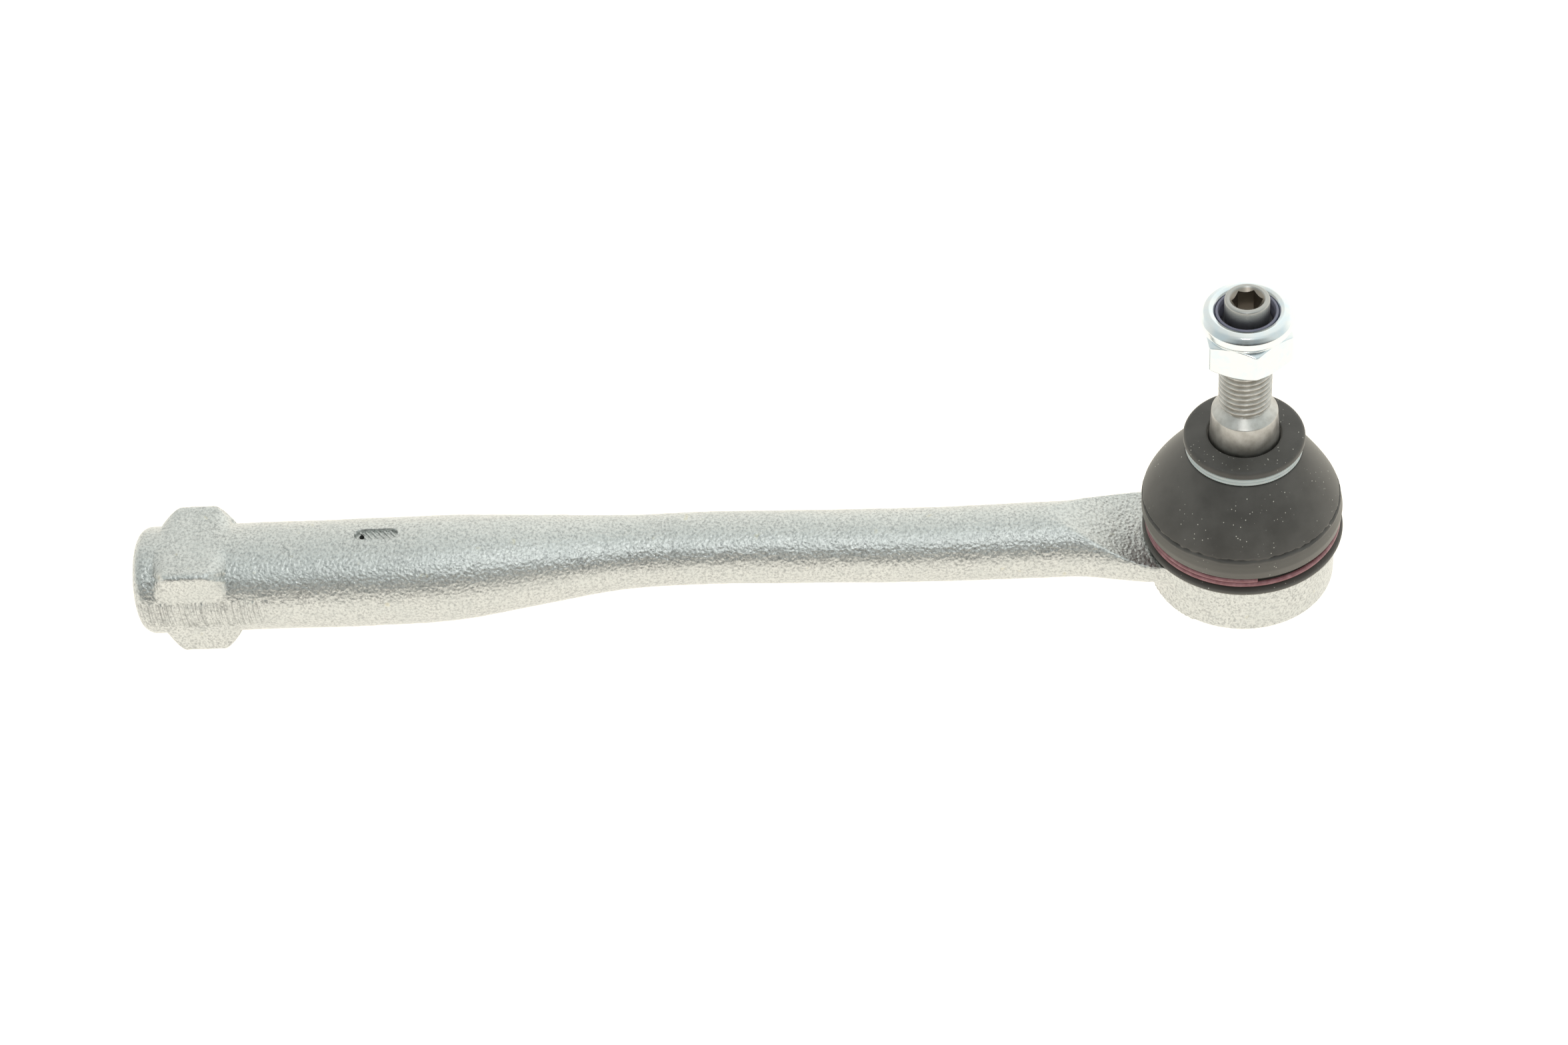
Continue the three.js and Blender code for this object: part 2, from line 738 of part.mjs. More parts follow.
place("housing", housing(), zincedForging);
place("closing_plate", closingPlate(), brightZinc);
place("preload_spring", preloadSpring(), springSteel);
place("bearing_shell_lower", bearingShellLower(), acetal);
place("bearing_shell_upper", bearingShellUpper(), acetal);
place("ball_stud", ballStud(), brightSteel);
place("dust_boot", dustBoot(), rubber);
place("boot_lower_ring", bootLowerRing(), coatedWire);
place("boot_upper_ring", bootUpperRing(), paleBand);
place("lock_nut", lockNut(), brightZinc);
place("nut_insert", nutInsert(), nylon);

export default tieRodEnd;
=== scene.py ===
# %% [markdown]
# # A tie rod end, finished in Blender
# A tie rod end joins a car's steering rack to the wheel. It is a forged steel arm with a threaded sleeve at one
# end and a ball joint at the other, and the ball's stud is clamped into the steering arm by a lock nut.
# The frame holds the real sizes and joints. This notebook makes a fine surface for each piece that shows, as a
# formula on a grid of points, and gives each one the finish that it has from the factory.

# %% Load the frame
import json
import math

import bpy
import numpy as np
from mathutils import Matrix, Vector


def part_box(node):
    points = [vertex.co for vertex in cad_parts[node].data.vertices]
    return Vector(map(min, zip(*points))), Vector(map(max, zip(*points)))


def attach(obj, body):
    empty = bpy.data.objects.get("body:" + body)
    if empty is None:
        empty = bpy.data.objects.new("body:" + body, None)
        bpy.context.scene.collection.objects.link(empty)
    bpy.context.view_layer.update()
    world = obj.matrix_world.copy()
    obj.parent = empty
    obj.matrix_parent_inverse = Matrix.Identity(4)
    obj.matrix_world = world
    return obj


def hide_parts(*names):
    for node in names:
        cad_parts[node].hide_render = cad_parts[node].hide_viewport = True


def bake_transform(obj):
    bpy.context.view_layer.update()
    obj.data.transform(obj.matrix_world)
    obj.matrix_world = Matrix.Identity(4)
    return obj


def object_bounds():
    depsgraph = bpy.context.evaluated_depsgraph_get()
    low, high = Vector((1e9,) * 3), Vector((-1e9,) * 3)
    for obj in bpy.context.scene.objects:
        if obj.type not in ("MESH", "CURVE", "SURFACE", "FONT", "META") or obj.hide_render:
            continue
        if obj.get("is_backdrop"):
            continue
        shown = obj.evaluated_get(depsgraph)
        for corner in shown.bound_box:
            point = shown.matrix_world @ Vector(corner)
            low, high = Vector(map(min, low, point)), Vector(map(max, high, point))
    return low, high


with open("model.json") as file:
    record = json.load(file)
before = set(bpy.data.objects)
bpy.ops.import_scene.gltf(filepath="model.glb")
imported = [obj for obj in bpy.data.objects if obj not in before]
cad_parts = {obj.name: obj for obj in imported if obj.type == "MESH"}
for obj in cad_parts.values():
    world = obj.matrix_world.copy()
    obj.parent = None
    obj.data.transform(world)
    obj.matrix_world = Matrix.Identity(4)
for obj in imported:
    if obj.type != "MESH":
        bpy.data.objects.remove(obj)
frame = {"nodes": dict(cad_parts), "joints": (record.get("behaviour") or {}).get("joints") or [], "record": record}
cad_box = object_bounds()

# %% [markdown]
# ## Sizes
# Every place comes from the frame: a node's box, a mount or a joint. The functions below work in millimetres,
# which are easy to think in, and a mesh is turned to metres when it is made.

# %% Read the main sizes from the frame, in millimetres
MM = 0.001


def size(node):
    """A CAD node's lowest and highest corners, in millimetres."""
    low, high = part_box(node)
    return np.array(low) / MM, np.array(high) / MM


def round_size(node):
    """A round CAD node's lowest and highest Z, and its radius, in millimetres."""
    low, high = size(node)
    return low[2], high[2], high[0]


record = frame["record"]
mount = {m["name"]: np.array(m["pos_m"]) / MM for m in record["mounts"]}
opening = {o["name"]: np.array(o["box_m"]) / MM for o in record["physics"]["openings"]}
joint = {j["name"]: j for j in frame["joints"]}

(end_x, _, _), (cup_radius, _, mouth_z) = size("housing")
axis_z = opening["sleeve_bore"][:, 2].mean()  # the sleeve lies on z = 0, so this is its radius too
sleeve_radius = axis_z
boss_x = mount["boss_flat_front"][0]
boss_half_width = mount["boss_flat_back"][1]
ball_z = joint["stud_tilt"]["pos_m"][2] / MM
tip_z = round_size("ball_stud")[1]
nut_z, nut_top, _ = round_size("lock_nut")
insert_z, insert_top, insert_radius = round_size("nut_insert")
boot_z, boot_top, bead_radius = round_size("dust_boot")
band_z, band_top, band_radius = round_size("boot_upper_ring")
wire_low, wire_high, _ = round_size("boot_lower_ring")
_, plate_top, plate_radius = round_size("closing_plate")
print(f"sleeve end {end_x:.1f}, cup radius {cup_radius:.1f}, ball centre {ball_z:.1f}, tip {tip_z:.1f} mm")

# %% [markdown]
# ## Camera
# The part lies on a table and is looked at from the front and 45 degrees above, with a short telephoto lens. The
# camera leans over a little, so that the arm rises to the right. It is aimed by its angles, as a tripod head is
# set, and not by an empty to track, so it keeps its place in every pose.

# %% Place the camera
AZIMUTH, ELEVATION, ROLL = np.radians([5.452, 45.186, -6.742])
DISTANCE = 0.75842
TARGET = np.array([-0.106391, -0.008358, 0.030109])
LENS = 75.232

back = np.array([
    math.sin(AZIMUTH) * math.cos(ELEVATION),
    -math.cos(AZIMUTH) * math.cos(ELEVATION),
    math.sin(ELEVATION),
])
level = np.cross([0, 0, 1], back)
level /= np.linalg.norm(level)
upright = np.cross(back, level)
right = math.cos(ROLL) * level + math.sin(ROLL) * upright
up = math.cos(ROLL) * upright - math.sin(ROLL) * level

lens = bpy.data.cameras.new("camera")
lens.lens = LENS
lens.sensor_width = 36
lens.clip_start = 0.01
camera = bpy.data.objects.new("camera", lens)
turn = Matrix(np.column_stack([right, up, back]).tolist()).to_4x4()
camera.matrix_world = Matrix.Translation(Vector(TARGET + DISTANCE * back)) @ turn
bpy.context.scene.collection.objects.link(camera)
bpy.context.scene.camera = camera
print("camera at", [round(v, 3) for v in camera.matrix_world.translation])

# %% [markdown]
# ## From a grid of points to a mesh
# Nearly every piece here is round, or is a section carried along a line. Both are a grid: rows run along the
# outline, columns run round the axis. One function turns such a grid into a closed mesh, and its faces point out
# when the columns run anticlockwise and the rows run up the outside.

# %% Grids and meshes
def surface(name, points, ring=False):
    """A closed mesh from points[row, column], in millimetres. The columns wrap round. With ring the rows wrap
    too, as on a tube bent into a ring; otherwise each end row is closed by a fan to its middle."""
    rows, columns = points.shape[:2]
    vertices = points.reshape(-1, 3)
    index = np.arange(rows * columns).reshape(rows, columns)
    if ring:
        index = np.vstack([index, index[:1]])
    beside = np.roll(index, -1, axis=1)
    quads = np.stack([index[:-1], beside[:-1], beside[1:], index[1:]], -1).reshape(-1, 4)
    faces = quads.tolist()
    if not ring:
        ends = np.array([points[0].mean(0), points[-1].mean(0)])
        vertices = np.vstack([vertices, ends])
        low, high = np.full(columns, rows * columns), np.full(columns, rows * columns + 1)
        faces += np.stack([low, beside[0], index[0]], -1).tolist()
        faces += np.stack([high, index[-1], beside[-1]], -1).tolist()
    mesh = bpy.data.meshes.new(name)
    mesh.from_pydata((vertices * MM).tolist(), [], faces)
    made = bpy.data.objects.new(name, mesh)
    bpy.context.scene.collection.objects.link(made)
    return made


def angles(columns, first=0.0):
    """Evenly spaced angles round a circle, in radians."""
    return first + np.arange(columns) * 2 * math.pi / columns


def grid(x, y, z):
    """Points from three arrays of coordinates, spread over one grid."""
    return np.stack(np.broadcast_arrays(x, y, z), -1)


def around_z(radius, height, angle):
    """Points at (radius, height) turned by angle about Z: x = radius cos, y = radius sin."""
    return grid(radius * np.cos(angle), radius * np.sin(angle), height)


def shade(piece, crease=35):
    """Smooth shading, but for edges that turn by more than crease degrees."""
    piece.data.shade_smooth()
    piece.data.set_sharp_from_angle(angle=math.radians(crease))
    return piece


def report(piece):
    """Prints a piece's triangles and box."""
    piece.data.calc_loop_triangles()
    low, high = np.array(piece.bound_box).min(0) / MM, np.array(piece.bound_box).max(0) / MM
    print(f"{piece.name}: {len(piece.data.loop_triangles)} triangles, {low.round(1)} to {high.round(1)} mm")


# %% Outlines with rounded corners
def outline(corners, step=0.6, ring=False):
    """An outline of (radius, height, rounding) corners: each corner becomes an arc of its rounding that touches
    both sides, and no straight stretch is longer than step."""
    corner = np.array([(*c, 0.0)[:3] for c in corners], float)
    place, rounding = corner[:, :2], corner[:, 2]
    before, after = np.roll(place, 1, 0), np.roll(place, -1, 0)
    drawn = []
    for here, last, following, arc in zip(place, before, after, rounding):
        sides = [last - here, following - here]
        lengths = [np.linalg.norm(side) for side in sides]
        if not arc:
            drawn.append(here)
            continue
        to_last, to_next = (side / length for side, length in zip(sides, lengths))
        half = math.acos(np.clip(to_last @ to_next, -1, 1)) / 2
        reach = min(arc / math.tan(half), 0.49 * min(lengths))
        middle = to_last + to_next
        centre = here + middle / np.linalg.norm(middle) * reach / math.cos(half)
        start, end = here + to_last * reach - centre, here + to_next * reach - centre
        first = math.atan2(start[1], start[0])
        sweep = (math.atan2(end[1], end[0]) - first + math.pi) % (2 * math.pi) - math.pi
        sweeps = first + np.linspace(0, sweep, 2 + int(abs(sweep) / 0.2))
        drawn += list(centre + np.hypot(*start) * np.column_stack([np.cos(sweeps), np.sin(sweeps)]))
    drawn = np.array(drawn + drawn[:1] if ring else drawn)
    along = np.concatenate([[0], np.cumsum(np.hypot(*np.diff(drawn, axis=0).T))])
    cuts = [np.linspace(a, b, 2 + int((b - a) / step))[:-1] for a, b in zip(along, along[1:]) if b > a]
    wanted = np.concatenate([*cuts, [] if ring else along[-1:]])
    return np.column_stack([np.interp(wanted, along, drawn[:, i]) for i in (0, 1)])


def turned(name, corners, columns=160, step=0.6, ring=False):
    """A turned piece: the outline of its corners carried round the Z axis."""
    radius, height = outline(corners, step, ring).T
    return surface(name, around_z(radius[:, None], height[:, None], angles(columns)), ring)


# %% [markdown]
# A forging has no sharp inside corners, because the hot steel has to flow. Where two shapes meet, a soft maximum
# of their radii gives the fillet without any modelling: it is the larger of the two, plus a little where they
# are nearly equal.

# %% Soft joins and unevenness
def ease(t):
    """0 below 0, 1 above 1, and 3t² − 2t³ between, which starts and ends level."""
    t = np.clip(t, 0, 1)
    return t * t * (3 - 2 * t)


def soft_max(a, b, fillet):
    """The larger of a and b. Where they differ by less than fillet, fillet/4 · (1 − |a − b| / fillet)² more."""
    return np.maximum(a, b) + fillet / 4 * np.maximum(0, 1 - np.abs(a - b) / fillet) ** 2


def soft_min(a, b, fillet):
    """The smaller of a and b, rounded in the same way."""
    return -soft_max(-a, -b, fillet)


def uneven(points, length, seed, waves=14):
    """Smooth unevenness, mostly between −1 and 1: the sum of plane waves in random directions, each with a
    wavelength near length."""
    random = np.random.default_rng(seed)
    total = np.zeros(points.shape[:-1])
    for _ in range(waves):
        direction = random.normal(size=3)
        direction *= 2 * math.pi / (np.linalg.norm(direction) * length * random.uniform(0.7, 1.6))
        total += np.sin(points @ direction + random.uniform(0, 2 * math.pi))
    return total / math.sqrt(waves)


def thread(turns, crest=0.16, flank=0.34):
    """Height of a screw thread, 0 at its root and 1 at its crest, after so many turns of the helix: flat for
    crest of a turn, then a straight flank down on each side, and a rounded root between."""
    from_crest = np.abs((turns % 1.0) - 0.5)
    return ease(np.clip((crest / 2 + flank - from_crest) / flank, 0, 1) ** 0.9)


# %% Cut and join closed meshes
def combined(piece, others):
    """Joins or cuts a mesh with others, one Boolean modifier each, and keeps only the result."""
    for operation, other in others:
        step = piece.modifiers.new(operation, "BOOLEAN")
        step.operation = operation
        step.solver = "MANIFOLD"
        step.object = other
    evaluated = piece.evaluated_get(bpy.context.evaluated_depsgraph_get())
    mesh = bpy.data.meshes.new_from_object(evaluated)
    piece.modifiers.clear()
    piece.data = mesh
    for _, other in others:
        bpy.data.objects.remove(other)
    return piece


# %% [markdown]
# ## The forging: sleeve, boss, arm
# On the real part the sleeve, the spanner boss, the arm and the ball cup are one piece of steel, hammered in two
# dies and then machined only where it has to be. It could be sculpted, or made of subdivided boxes, but then the
# sizes would drift. Here it is one grid along X: each row is a section round the arm's axis, and its radius is
# the soft maximum of the round bar, the square boss and the cup. The ramp before the cup is a soft minimum.

# %% Sizes of the forging
SLEEVE_LENGTH, SHOULDER_LENGTH = 66.8, 58
ARM_RADIUS, ARM_SWELL, ARM_DROP = 8.6, 0.8, 1.2
ARM_OFFSET, SLEEVE_OFFSET = 1.7, 0.9
END_ROUNDING = 3.0
BOSS_TOP, BOSS_SLOPE = 10.0, 3.6  # lengths of the boss's level top and of each end's slope
BOSS_CORNER, BOSS_EDGE = 2.4, 0.12
PLAN_FRONT, PLAN_BACK = 2.1, 3.2  # rounding of the boss as seen from above
ROUND_SHARE = 0.6  # how much of each end is a quarter ellipse, and the rest an ease
RAMP_LENGTH, RAMP_END = 23, cup_radius + 1.5
RAMP_EDGE = 0.45  # rounding of the ridge along the ramp
WAIST_FLARE, FLARE_START, FLARE_RUN = 3.9, -42, 24
CUP_FILLET = 2.4
LONG_DENTS, SHORT_DENTS, DENTS_END, DENTS_FADE = 0.05, 0.022, -14, 10
GROOVE_Z = ball_z - 6.2
GROOVE_HEIGHT, GROOVE_DEPTH = 3.6, 1.7
MOUTH_RADIUS = 11.4

shoulder_x = end_x + SLEEVE_LENGTH
arm_x = shoulder_x + SHOULDER_LENGTH
ramp_start = RAMP_END + RAMP_LENGTH
print(f"sleeve ends at {shoulder_x:.1f}, arm starts at {arm_x:.1f}, ramp at {-ramp_start:.1f} mm")


def rod_radius(x):
    """The sleeve's radius, easing over the shoulder to the arm's, which swells with the square of the distance
    towards the cup."""
    thin = ARM_RADIUS + ARM_SWELL * np.maximum(0, (x - arm_x) / -arm_x) ** 2
    return thin + (sleeve_radius - thin) * (1 - ease((x - shoulder_x) / SHOULDER_LENGTH))


def rod_axis(x):
    """Where the bar's axis runs: a little forward at the sleeve's inner end, a little back along the arm, and
    lower near the cup."""
    shoulder = ease((x - shoulder_x) / SHOULDER_LENGTH)
    behind = ARM_OFFSET * shoulder * (1 - ease((x - arm_x) / (-arm_x / 2)))
    forward = SLEEVE_OFFSET * ease((x - end_x) / SLEEVE_LENGTH) * (1 - shoulder)
    return behind - forward, axis_z - ARM_DROP * ease((x - arm_x) / (-ramp_start - arm_x))


# %% Rows and columns of the forging
def spaced(start, stop, step):
    """Places from start up to stop, about a step apart."""
    return np.linspace(start, stop, int((stop - start) / step) + 1)[:-1]


# where each stretch of rows ends and their step: boss, sleeve, arm, flare, and the fillet at the cup
stretches = [(-237, 0.3), (shoulder_x, 1.0), (-50, 1.15), (-24, 0.5), (-12, 0.3)]
starts = [end_x + END_ROUNDING, *(stop for stop, _ in stretches)]
quarter = np.linspace(0, math.pi / 2, 8)
rows = np.concatenate([
    end_x + END_ROUNDING * (1 - np.cos(quarter[:-1])),
    *(spaced(start, stop, step) for start, (stop, step) in zip(starts, stretches)),
])[:, None]
# the columns crowd together at the corners of the boss, 45 degrees off the axes
CROWDING = 0.55
even = angles(176)
columns = even - CROWDING * np.sin(4 * (even - math.pi / 4)) / 4
print("forging grid:", len(rows), "rows of", len(columns))

# %% The bar with its boss, in sections along X
cosine, sine = np.cos(columns), np.sin(columns)
bar = rod_radius(rows)
into_edge = np.maximum(0, END_ROUNDING - (rows - end_x))
bar = bar - (END_ROUNDING - np.sqrt(END_ROUNDING**2 - into_edge**2))
flare = WAIST_FLARE * ease((rows - FLARE_START) / FLARE_RUN)
section = 1 / np.hypot(cosine / (bar + flare), sine / bar)

square = soft_min(
    boss_half_width / np.maximum(np.abs(cosine), 1e-6),
    sleeve_radius / np.maximum(np.abs(sine), 1e-6),
    BOSS_CORNER,
)
# the boss is what the square adds to the sleeve, and it fades out over a slope at its two ends, which come in
# along a quarter circle towards its corners
added = soft_max(square - section, 0, BOSS_EDGE)
from_corner = boss_half_width + sleeve_radius - square * (np.abs(cosine) + np.abs(sine))
plan = np.where(cosine > 0, PLAN_BACK, PLAN_FRONT)
short = plan * (1 - np.sqrt(1 - np.clip(1 - from_corner / plan, 0, 1) ** 2))
beyond = np.clip((np.abs(rows - boss_x) - (BOSS_TOP / 2 - short)) / BOSS_SLOPE, 0, 1)
section = section + added * (ROUND_SHARE * np.sqrt(1 - beyond**2) + (1 - ROUND_SHARE) * (1 - ease(beyond)))
print(f"sections: radius {section.min():.1f} to {section.max():.1f} mm")

# %% The arm runs into the cup, and the ramp clears the boot
INSIDE = 0.03  # the bar's grid stays this much inside the turned cup, so that the two join cleanly
centre_y, centre_z = rod_axis(rows)
cup_half = np.sqrt(np.maximum(0, (cup_radius - INSIDE) ** 2 - rows**2))
cup_up = (np.where(sine > 0, GROOVE_Z, 0) - centre_z) / np.where(np.abs(sine) < 1e-6, 1e-6, sine)
cup_section = np.minimum(cup_half / np.maximum(np.abs(cosine), 1e-6), cup_up - INSIDE)
section = soft_max(section, cup_section, CUP_FILLET)
forged = grid(rows, centre_y + section * cosine, centre_z + section * sine)

top_z = rod_axis(-ramp_start)[1] + rod_radius(-ramp_start)
from_stud = np.hypot(forged[..., 0], forged[..., 1])
ramp = top_z + (GROOVE_Z - 0.1 - top_z) * ease((ramp_start - from_stud) / RAMP_LENGTH)
ramp = np.where(from_stud > ramp_start, np.inf, ramp)
forged[..., 2] = soft_min(forged[..., 2], ramp, RAMP_EDGE)

# hammering leaves the surface slightly uneven, all along the bar up to the cup
hammered = LONG_DENTS * uneven(forged, 11, seed=3) + SHORT_DENTS * uneven(forged, 3.5, seed=4)
forged += (hammered * ease((DENTS_END - rows) / DENTS_FADE))[..., None] * grid(0 * rows, cosine, sine)
housing = surface("fine_housing", forged)
report(housing)

# %% [markdown]
# ## The cup, the bore and the slot
# The cup is turned inside and out, so it is an outline carried round the stud's axis. Cutting the hollow with a
# Boolean keeps the machined edges crisp against the rough forging. The sleeve's female thread is also a cutter:
# a bar whose radius rises and falls along a helix. The shallow slot in the sleeve's top is milled, and the cutter
# left slanting ridges across its floor. A small hole at its outer end shows how far the inner rod is screwed in.

# %% Turn the cup and its hollow
NECK_WALL, LIP_RADIUS, SEAT_RADIUS, CUP_BORE = 3.0, 14.9, 16.7, 15.6
ROLLED_MARK = 17.6  # radius of the shallow groove that rolling the lip leaves under the cup
collar_radius = cup_radius - 0.9
groove_radius = cup_radius - GROOVE_DEPTH
groove_top = GROOVE_Z + GROOVE_HEIGHT
neck_radius = MOUTH_RADIUS + NECK_WALL
cup = turned("cup", [
    (0, 0), (ROLLED_MARK - 0.3, 0, 0.3), (ROLLED_MARK, 0.35, 0.1), (ROLLED_MARK + 0.3, 0, 0.3),
    (cup_radius, 0, 0.9), (cup_radius, GROOVE_Z, 0.35),
    (groove_radius, GROOVE_Z, 0.2), (groove_radius, groove_top, 0.2),
    (collar_radius, groove_top, 0.3), (collar_radius, groove_top + 1.8, 0.8),
    (neck_radius, mouth_z, 1.2), (0, mouth_z),
], columns=192, step=1.6)
cone_z = ball_z + 1.5
hollow = turned("hollow", [
    (0, -1), (LIP_RADIUS + 1.2, -1), (LIP_RADIUS, 0.45, 0.7), (LIP_RADIUS, 1), (SEAT_RADIUS, 1),
    (SEAT_RADIUS, plate_top + 0.3), (CUP_BORE, plate_top + 0.3), (CUP_BORE, cone_z),
    (MOUTH_RADIUS, cone_z + CUP_BORE - MOUTH_RADIUS), (MOUTH_RADIUS, mouth_z - 0.5),
    (MOUTH_RADIUS + 0.8, mouth_z + 0.3), (0, mouth_z + 0.3),
], columns=128, step=2)
report(cup)

# %% The threaded bore as a cutter
BORE_RADIUS, THREAD_PITCH, BORE_THREAD_DEPTH, BORE_LENGTH = 9.0, 1.5, 0.81, 62

bore_minor = BORE_RADIUS - BORE_THREAD_DEPTH
along = np.concatenate([
    [end_x - 1], spaced(end_x - 0.01, end_x + BORE_LENGTH, THREAD_PITCH / 4), [end_x + BORE_LENGTH],
])[:, None]
bore_angle = angles(80)
turns = (along - end_x) / THREAD_PITCH - bore_angle / (2 * math.pi)
threaded = bore_minor + BORE_THREAD_DEPTH * thread(turns) * ease((end_x + BORE_LENGTH - along) / 2)
chamfered = BORE_RADIUS + 0.6 - np.maximum(0, along - end_x)
bore_surface = np.maximum(threaded, chamfered)
bore_points = grid(along, bore_surface * np.cos(bore_angle), axis_z + bore_surface * np.sin(bore_angle))
drill_tip = np.broadcast_to([end_x + BORE_LENGTH + bore_minor * 0.6, 0, axis_z], (1, len(bore_angle), 3))
nearly = 0.02 * bore_points[-1:] + 0.98 * drill_tip
bore = surface("bore", np.concatenate([bore_points, nearly]))
report(bore)

# %% The slot, its hole and the ridges on its floor
SLOT_LENGTH, SLOT_WIDTH, SLOT_DEPTH, SLOT_FROM_END, SLOT_BREAK = 9.8, 2.9, 0.95, 58.7, 0.4
SLOT_HOLE, RIDGES, RIDGE_STEP, RIDGE_SLANT, RIDGE_RADIUS = 0.7, 6, 1.45, 0.8, 0.42

slot_x = end_x + SLOT_FROM_END
slot_y = rod_axis(slot_x)[0]
sleeve_top = axis_z + sleeve_radius
slot_low = sleeve_top - SLOT_DEPTH
slot_angle = angles(48, first=math.pi / 48)
slot_z = np.array([slot_low, sleeve_top - SLOT_BREAK - 0.1, sleeve_top + 0.1, sleeve_top + 2])[:, None]
slot_radius = SLOT_WIDTH / 2 + SLOT_BREAK * np.array([0, 0, 1, 1])[:, None]
straight = (SLOT_LENGTH - SLOT_WIDTH) / 2
round_slot = slot_x + straight * np.sign(np.cos(slot_angle)) + slot_radius * np.cos(slot_angle)
slot = surface("slot", grid(round_slot, slot_y + slot_radius * np.sin(slot_angle), slot_z))

hole_angle = angles(24)
hole_z = np.array([axis_z, slot_low + 0.4])[:, None]
hole_x, hole_y = slot_x - straight + SLOT_HOLE * np.cos(hole_angle), slot_y + SLOT_HOLE * np.sin(hole_angle)
hole = surface("hole", grid(hole_x, hole_y, hole_z))

ridges = []
ridge_y = np.linspace(-SLOT_WIDTH / 2 - 0.2, SLOT_WIDTH / 2 + 0.2, 9)[::-1, None]
ridge_angle = angles(12)
for number in range(RIDGES):
    ridge_x = slot_x + RIDGE_STEP * (number - 2) - RIDGE_SLANT * ridge_y + RIDGE_RADIUS * np.cos(ridge_angle)
    ridge_z = slot_low + RIDGE_RADIUS * np.sin(ridge_angle)
    ridges.append(surface("ridge", grid(ridge_x, slot_y + ridge_y, ridge_z)))
print(f"slot at {slot_x:.1f} mm with {len(ridges)} ridges")

# %% Join and cut the housing
combined(housing, [
    ("UNION", cup), ("DIFFERENCE", hollow), ("DIFFERENCE", slot), *[("UNION", ridge) for ridge in ridges],
    ("DIFFERENCE", bore), ("DIFFERENCE", hole),
])
shade(housing, 40)
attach(housing, "housing")
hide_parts("housing")
report(housing)

# %% [markdown]
# ## The closing plate
# A round plate pressed from sheet steel closes the cup from below. Its middle is pushed out to lie level with
# the lip that is rolled over it. It is a turned outline, with the soft corners that a press leaves.

# %% Press the closing plate
PLATE_GAP, PLATE_SHEET, PLATE_WALL, PLATE_DIMPLE = 0.3, 1.8, 1.3, 5.8
pan = LIP_RADIUS - PLATE_GAP - PLATE_WALL
plate_low = plate_top - PLATE_SHEET
plate = turned("fine_closing_plate", [
    (0, 0), (PLATE_DIMPLE - 0.6, 0, 0.6), (PLATE_DIMPLE, 0.35, 0.3), (PLATE_DIMPLE + 0.6, 0.35, 0.3),
    (PLATE_DIMPLE + 1.2, 0, 0.6), (pan, 0, 1.0), (pan + PLATE_WALL, plate_low, 0.5),
    (plate_radius, plate_low, 0.2), (plate_radius, plate_top, 0.2), (pan, plate_top, 0.8),
    (pan - PLATE_WALL, PLATE_SHEET, 0.8), (0, PLATE_SHEET),
], columns=128, step=1.2)
shade(plate)
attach(plate, "housing")
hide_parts("closing_plate")
report(plate)

# %% [markdown]
# ## The stud
# The stud is turned from bar: a ball, a neck, a 1:8 taper that wedges into the steering arm, and a thread that is
# rolled between dies. A helix swept with Screw or an array of cones would do for a plain picture. Here the radius
# is a function of height and angle, so the thread winds truly, and the nut's thread can use the same function.

# %% Turn the stud and roll its thread
BALL_RADIUS, BALL_FLAT, NECK_RADIUS = 12.5, 4, 7
TAPER_ABOVE_BALL, TAPER_LENGTH, TAPER_RADIUS, TAPER_RATIO = 16.9, 14.4, 8.42, 1 / 8
TAPER_CHAMFER, THREAD_RADIUS, THREAD_DEPTH = 1.7, 6.0, 0.92
TIP_RADIUS, TIP_LENGTH = 5.0, 5.9
SOCKET_FLATS, SOCKET_DEPTH = 6.0, 6.0

taper_z = ball_z + TAPER_ABOVE_BALL
taper_top = taper_z + TAPER_LENGTH
taper_small = TAPER_RADIUS - TAPER_LENGTH * TAPER_RATIO / 2
thread_z = taper_top + TAPER_CHAMFER
thread_top = tip_z - TIP_LENGTH
core = THREAD_RADIUS - THREAD_DEPTH


def stud_thread(height, angle):
    """The thread's radius: its core, plus its depth times the thread's height at that many turns, one turn for
    each pitch upwards and one turn back for each way round."""
    return core + THREAD_DEPTH * thread((height - thread_z) / THREAD_PITCH - angle / (2 * math.pi))


def every_way(drawn, angle):
    """An outline's radii, the same at every angle."""
    return np.repeat(drawn[:, :1], len(angle), 1)


stud_angle = angles(112)
ball_arc = np.linspace(math.asin(BALL_FLAT / BALL_RADIUS), math.pi - math.asin(NECK_RADIUS / BALL_RADIUS), 40)
ball = np.column_stack([BALL_RADIUS * np.sin(ball_arc), ball_z - BALL_RADIUS * np.cos(ball_arc)])
lower = outline([
    (0, ball[0, 1]), *map(tuple, ball), (NECK_RADIUS, taper_z - 3.2, 2.5), (TAPER_RADIUS, taper_z, 0.8),
    (taper_small, taper_top, 0.35), (core - 0.1, thread_z + 0.3),
], step=0.7)
upper = outline([(TIP_RADIUS, thread_top), (TIP_RADIUS, tip_z, 0.55), (0, tip_z)], step=0.7)
rolled_z = spaced(thread_z + 0.4, thread_top - 0.05, 0.1)[:, None]
rolled = stud_thread(rolled_z, stud_angle)
lead_in = core + np.minimum(rolled_z - thread_z, (thread_top - rolled_z) * 0.75)
rolled = soft_min(rolled, lead_in, 0.2)
stud_radius = np.vstack([every_way(lower, stud_angle), rolled, every_way(upper, stud_angle)])
stud_z = np.concatenate([lower[:, 1], rolled_z[:, 0], upper[:, 1]])[:, None]
stud = surface("fine_ball_stud", around_z(stud_radius, stud_z, stud_angle))
print(f"thread: {(thread_top - thread_z) / THREAD_PITCH:.1f} turns")


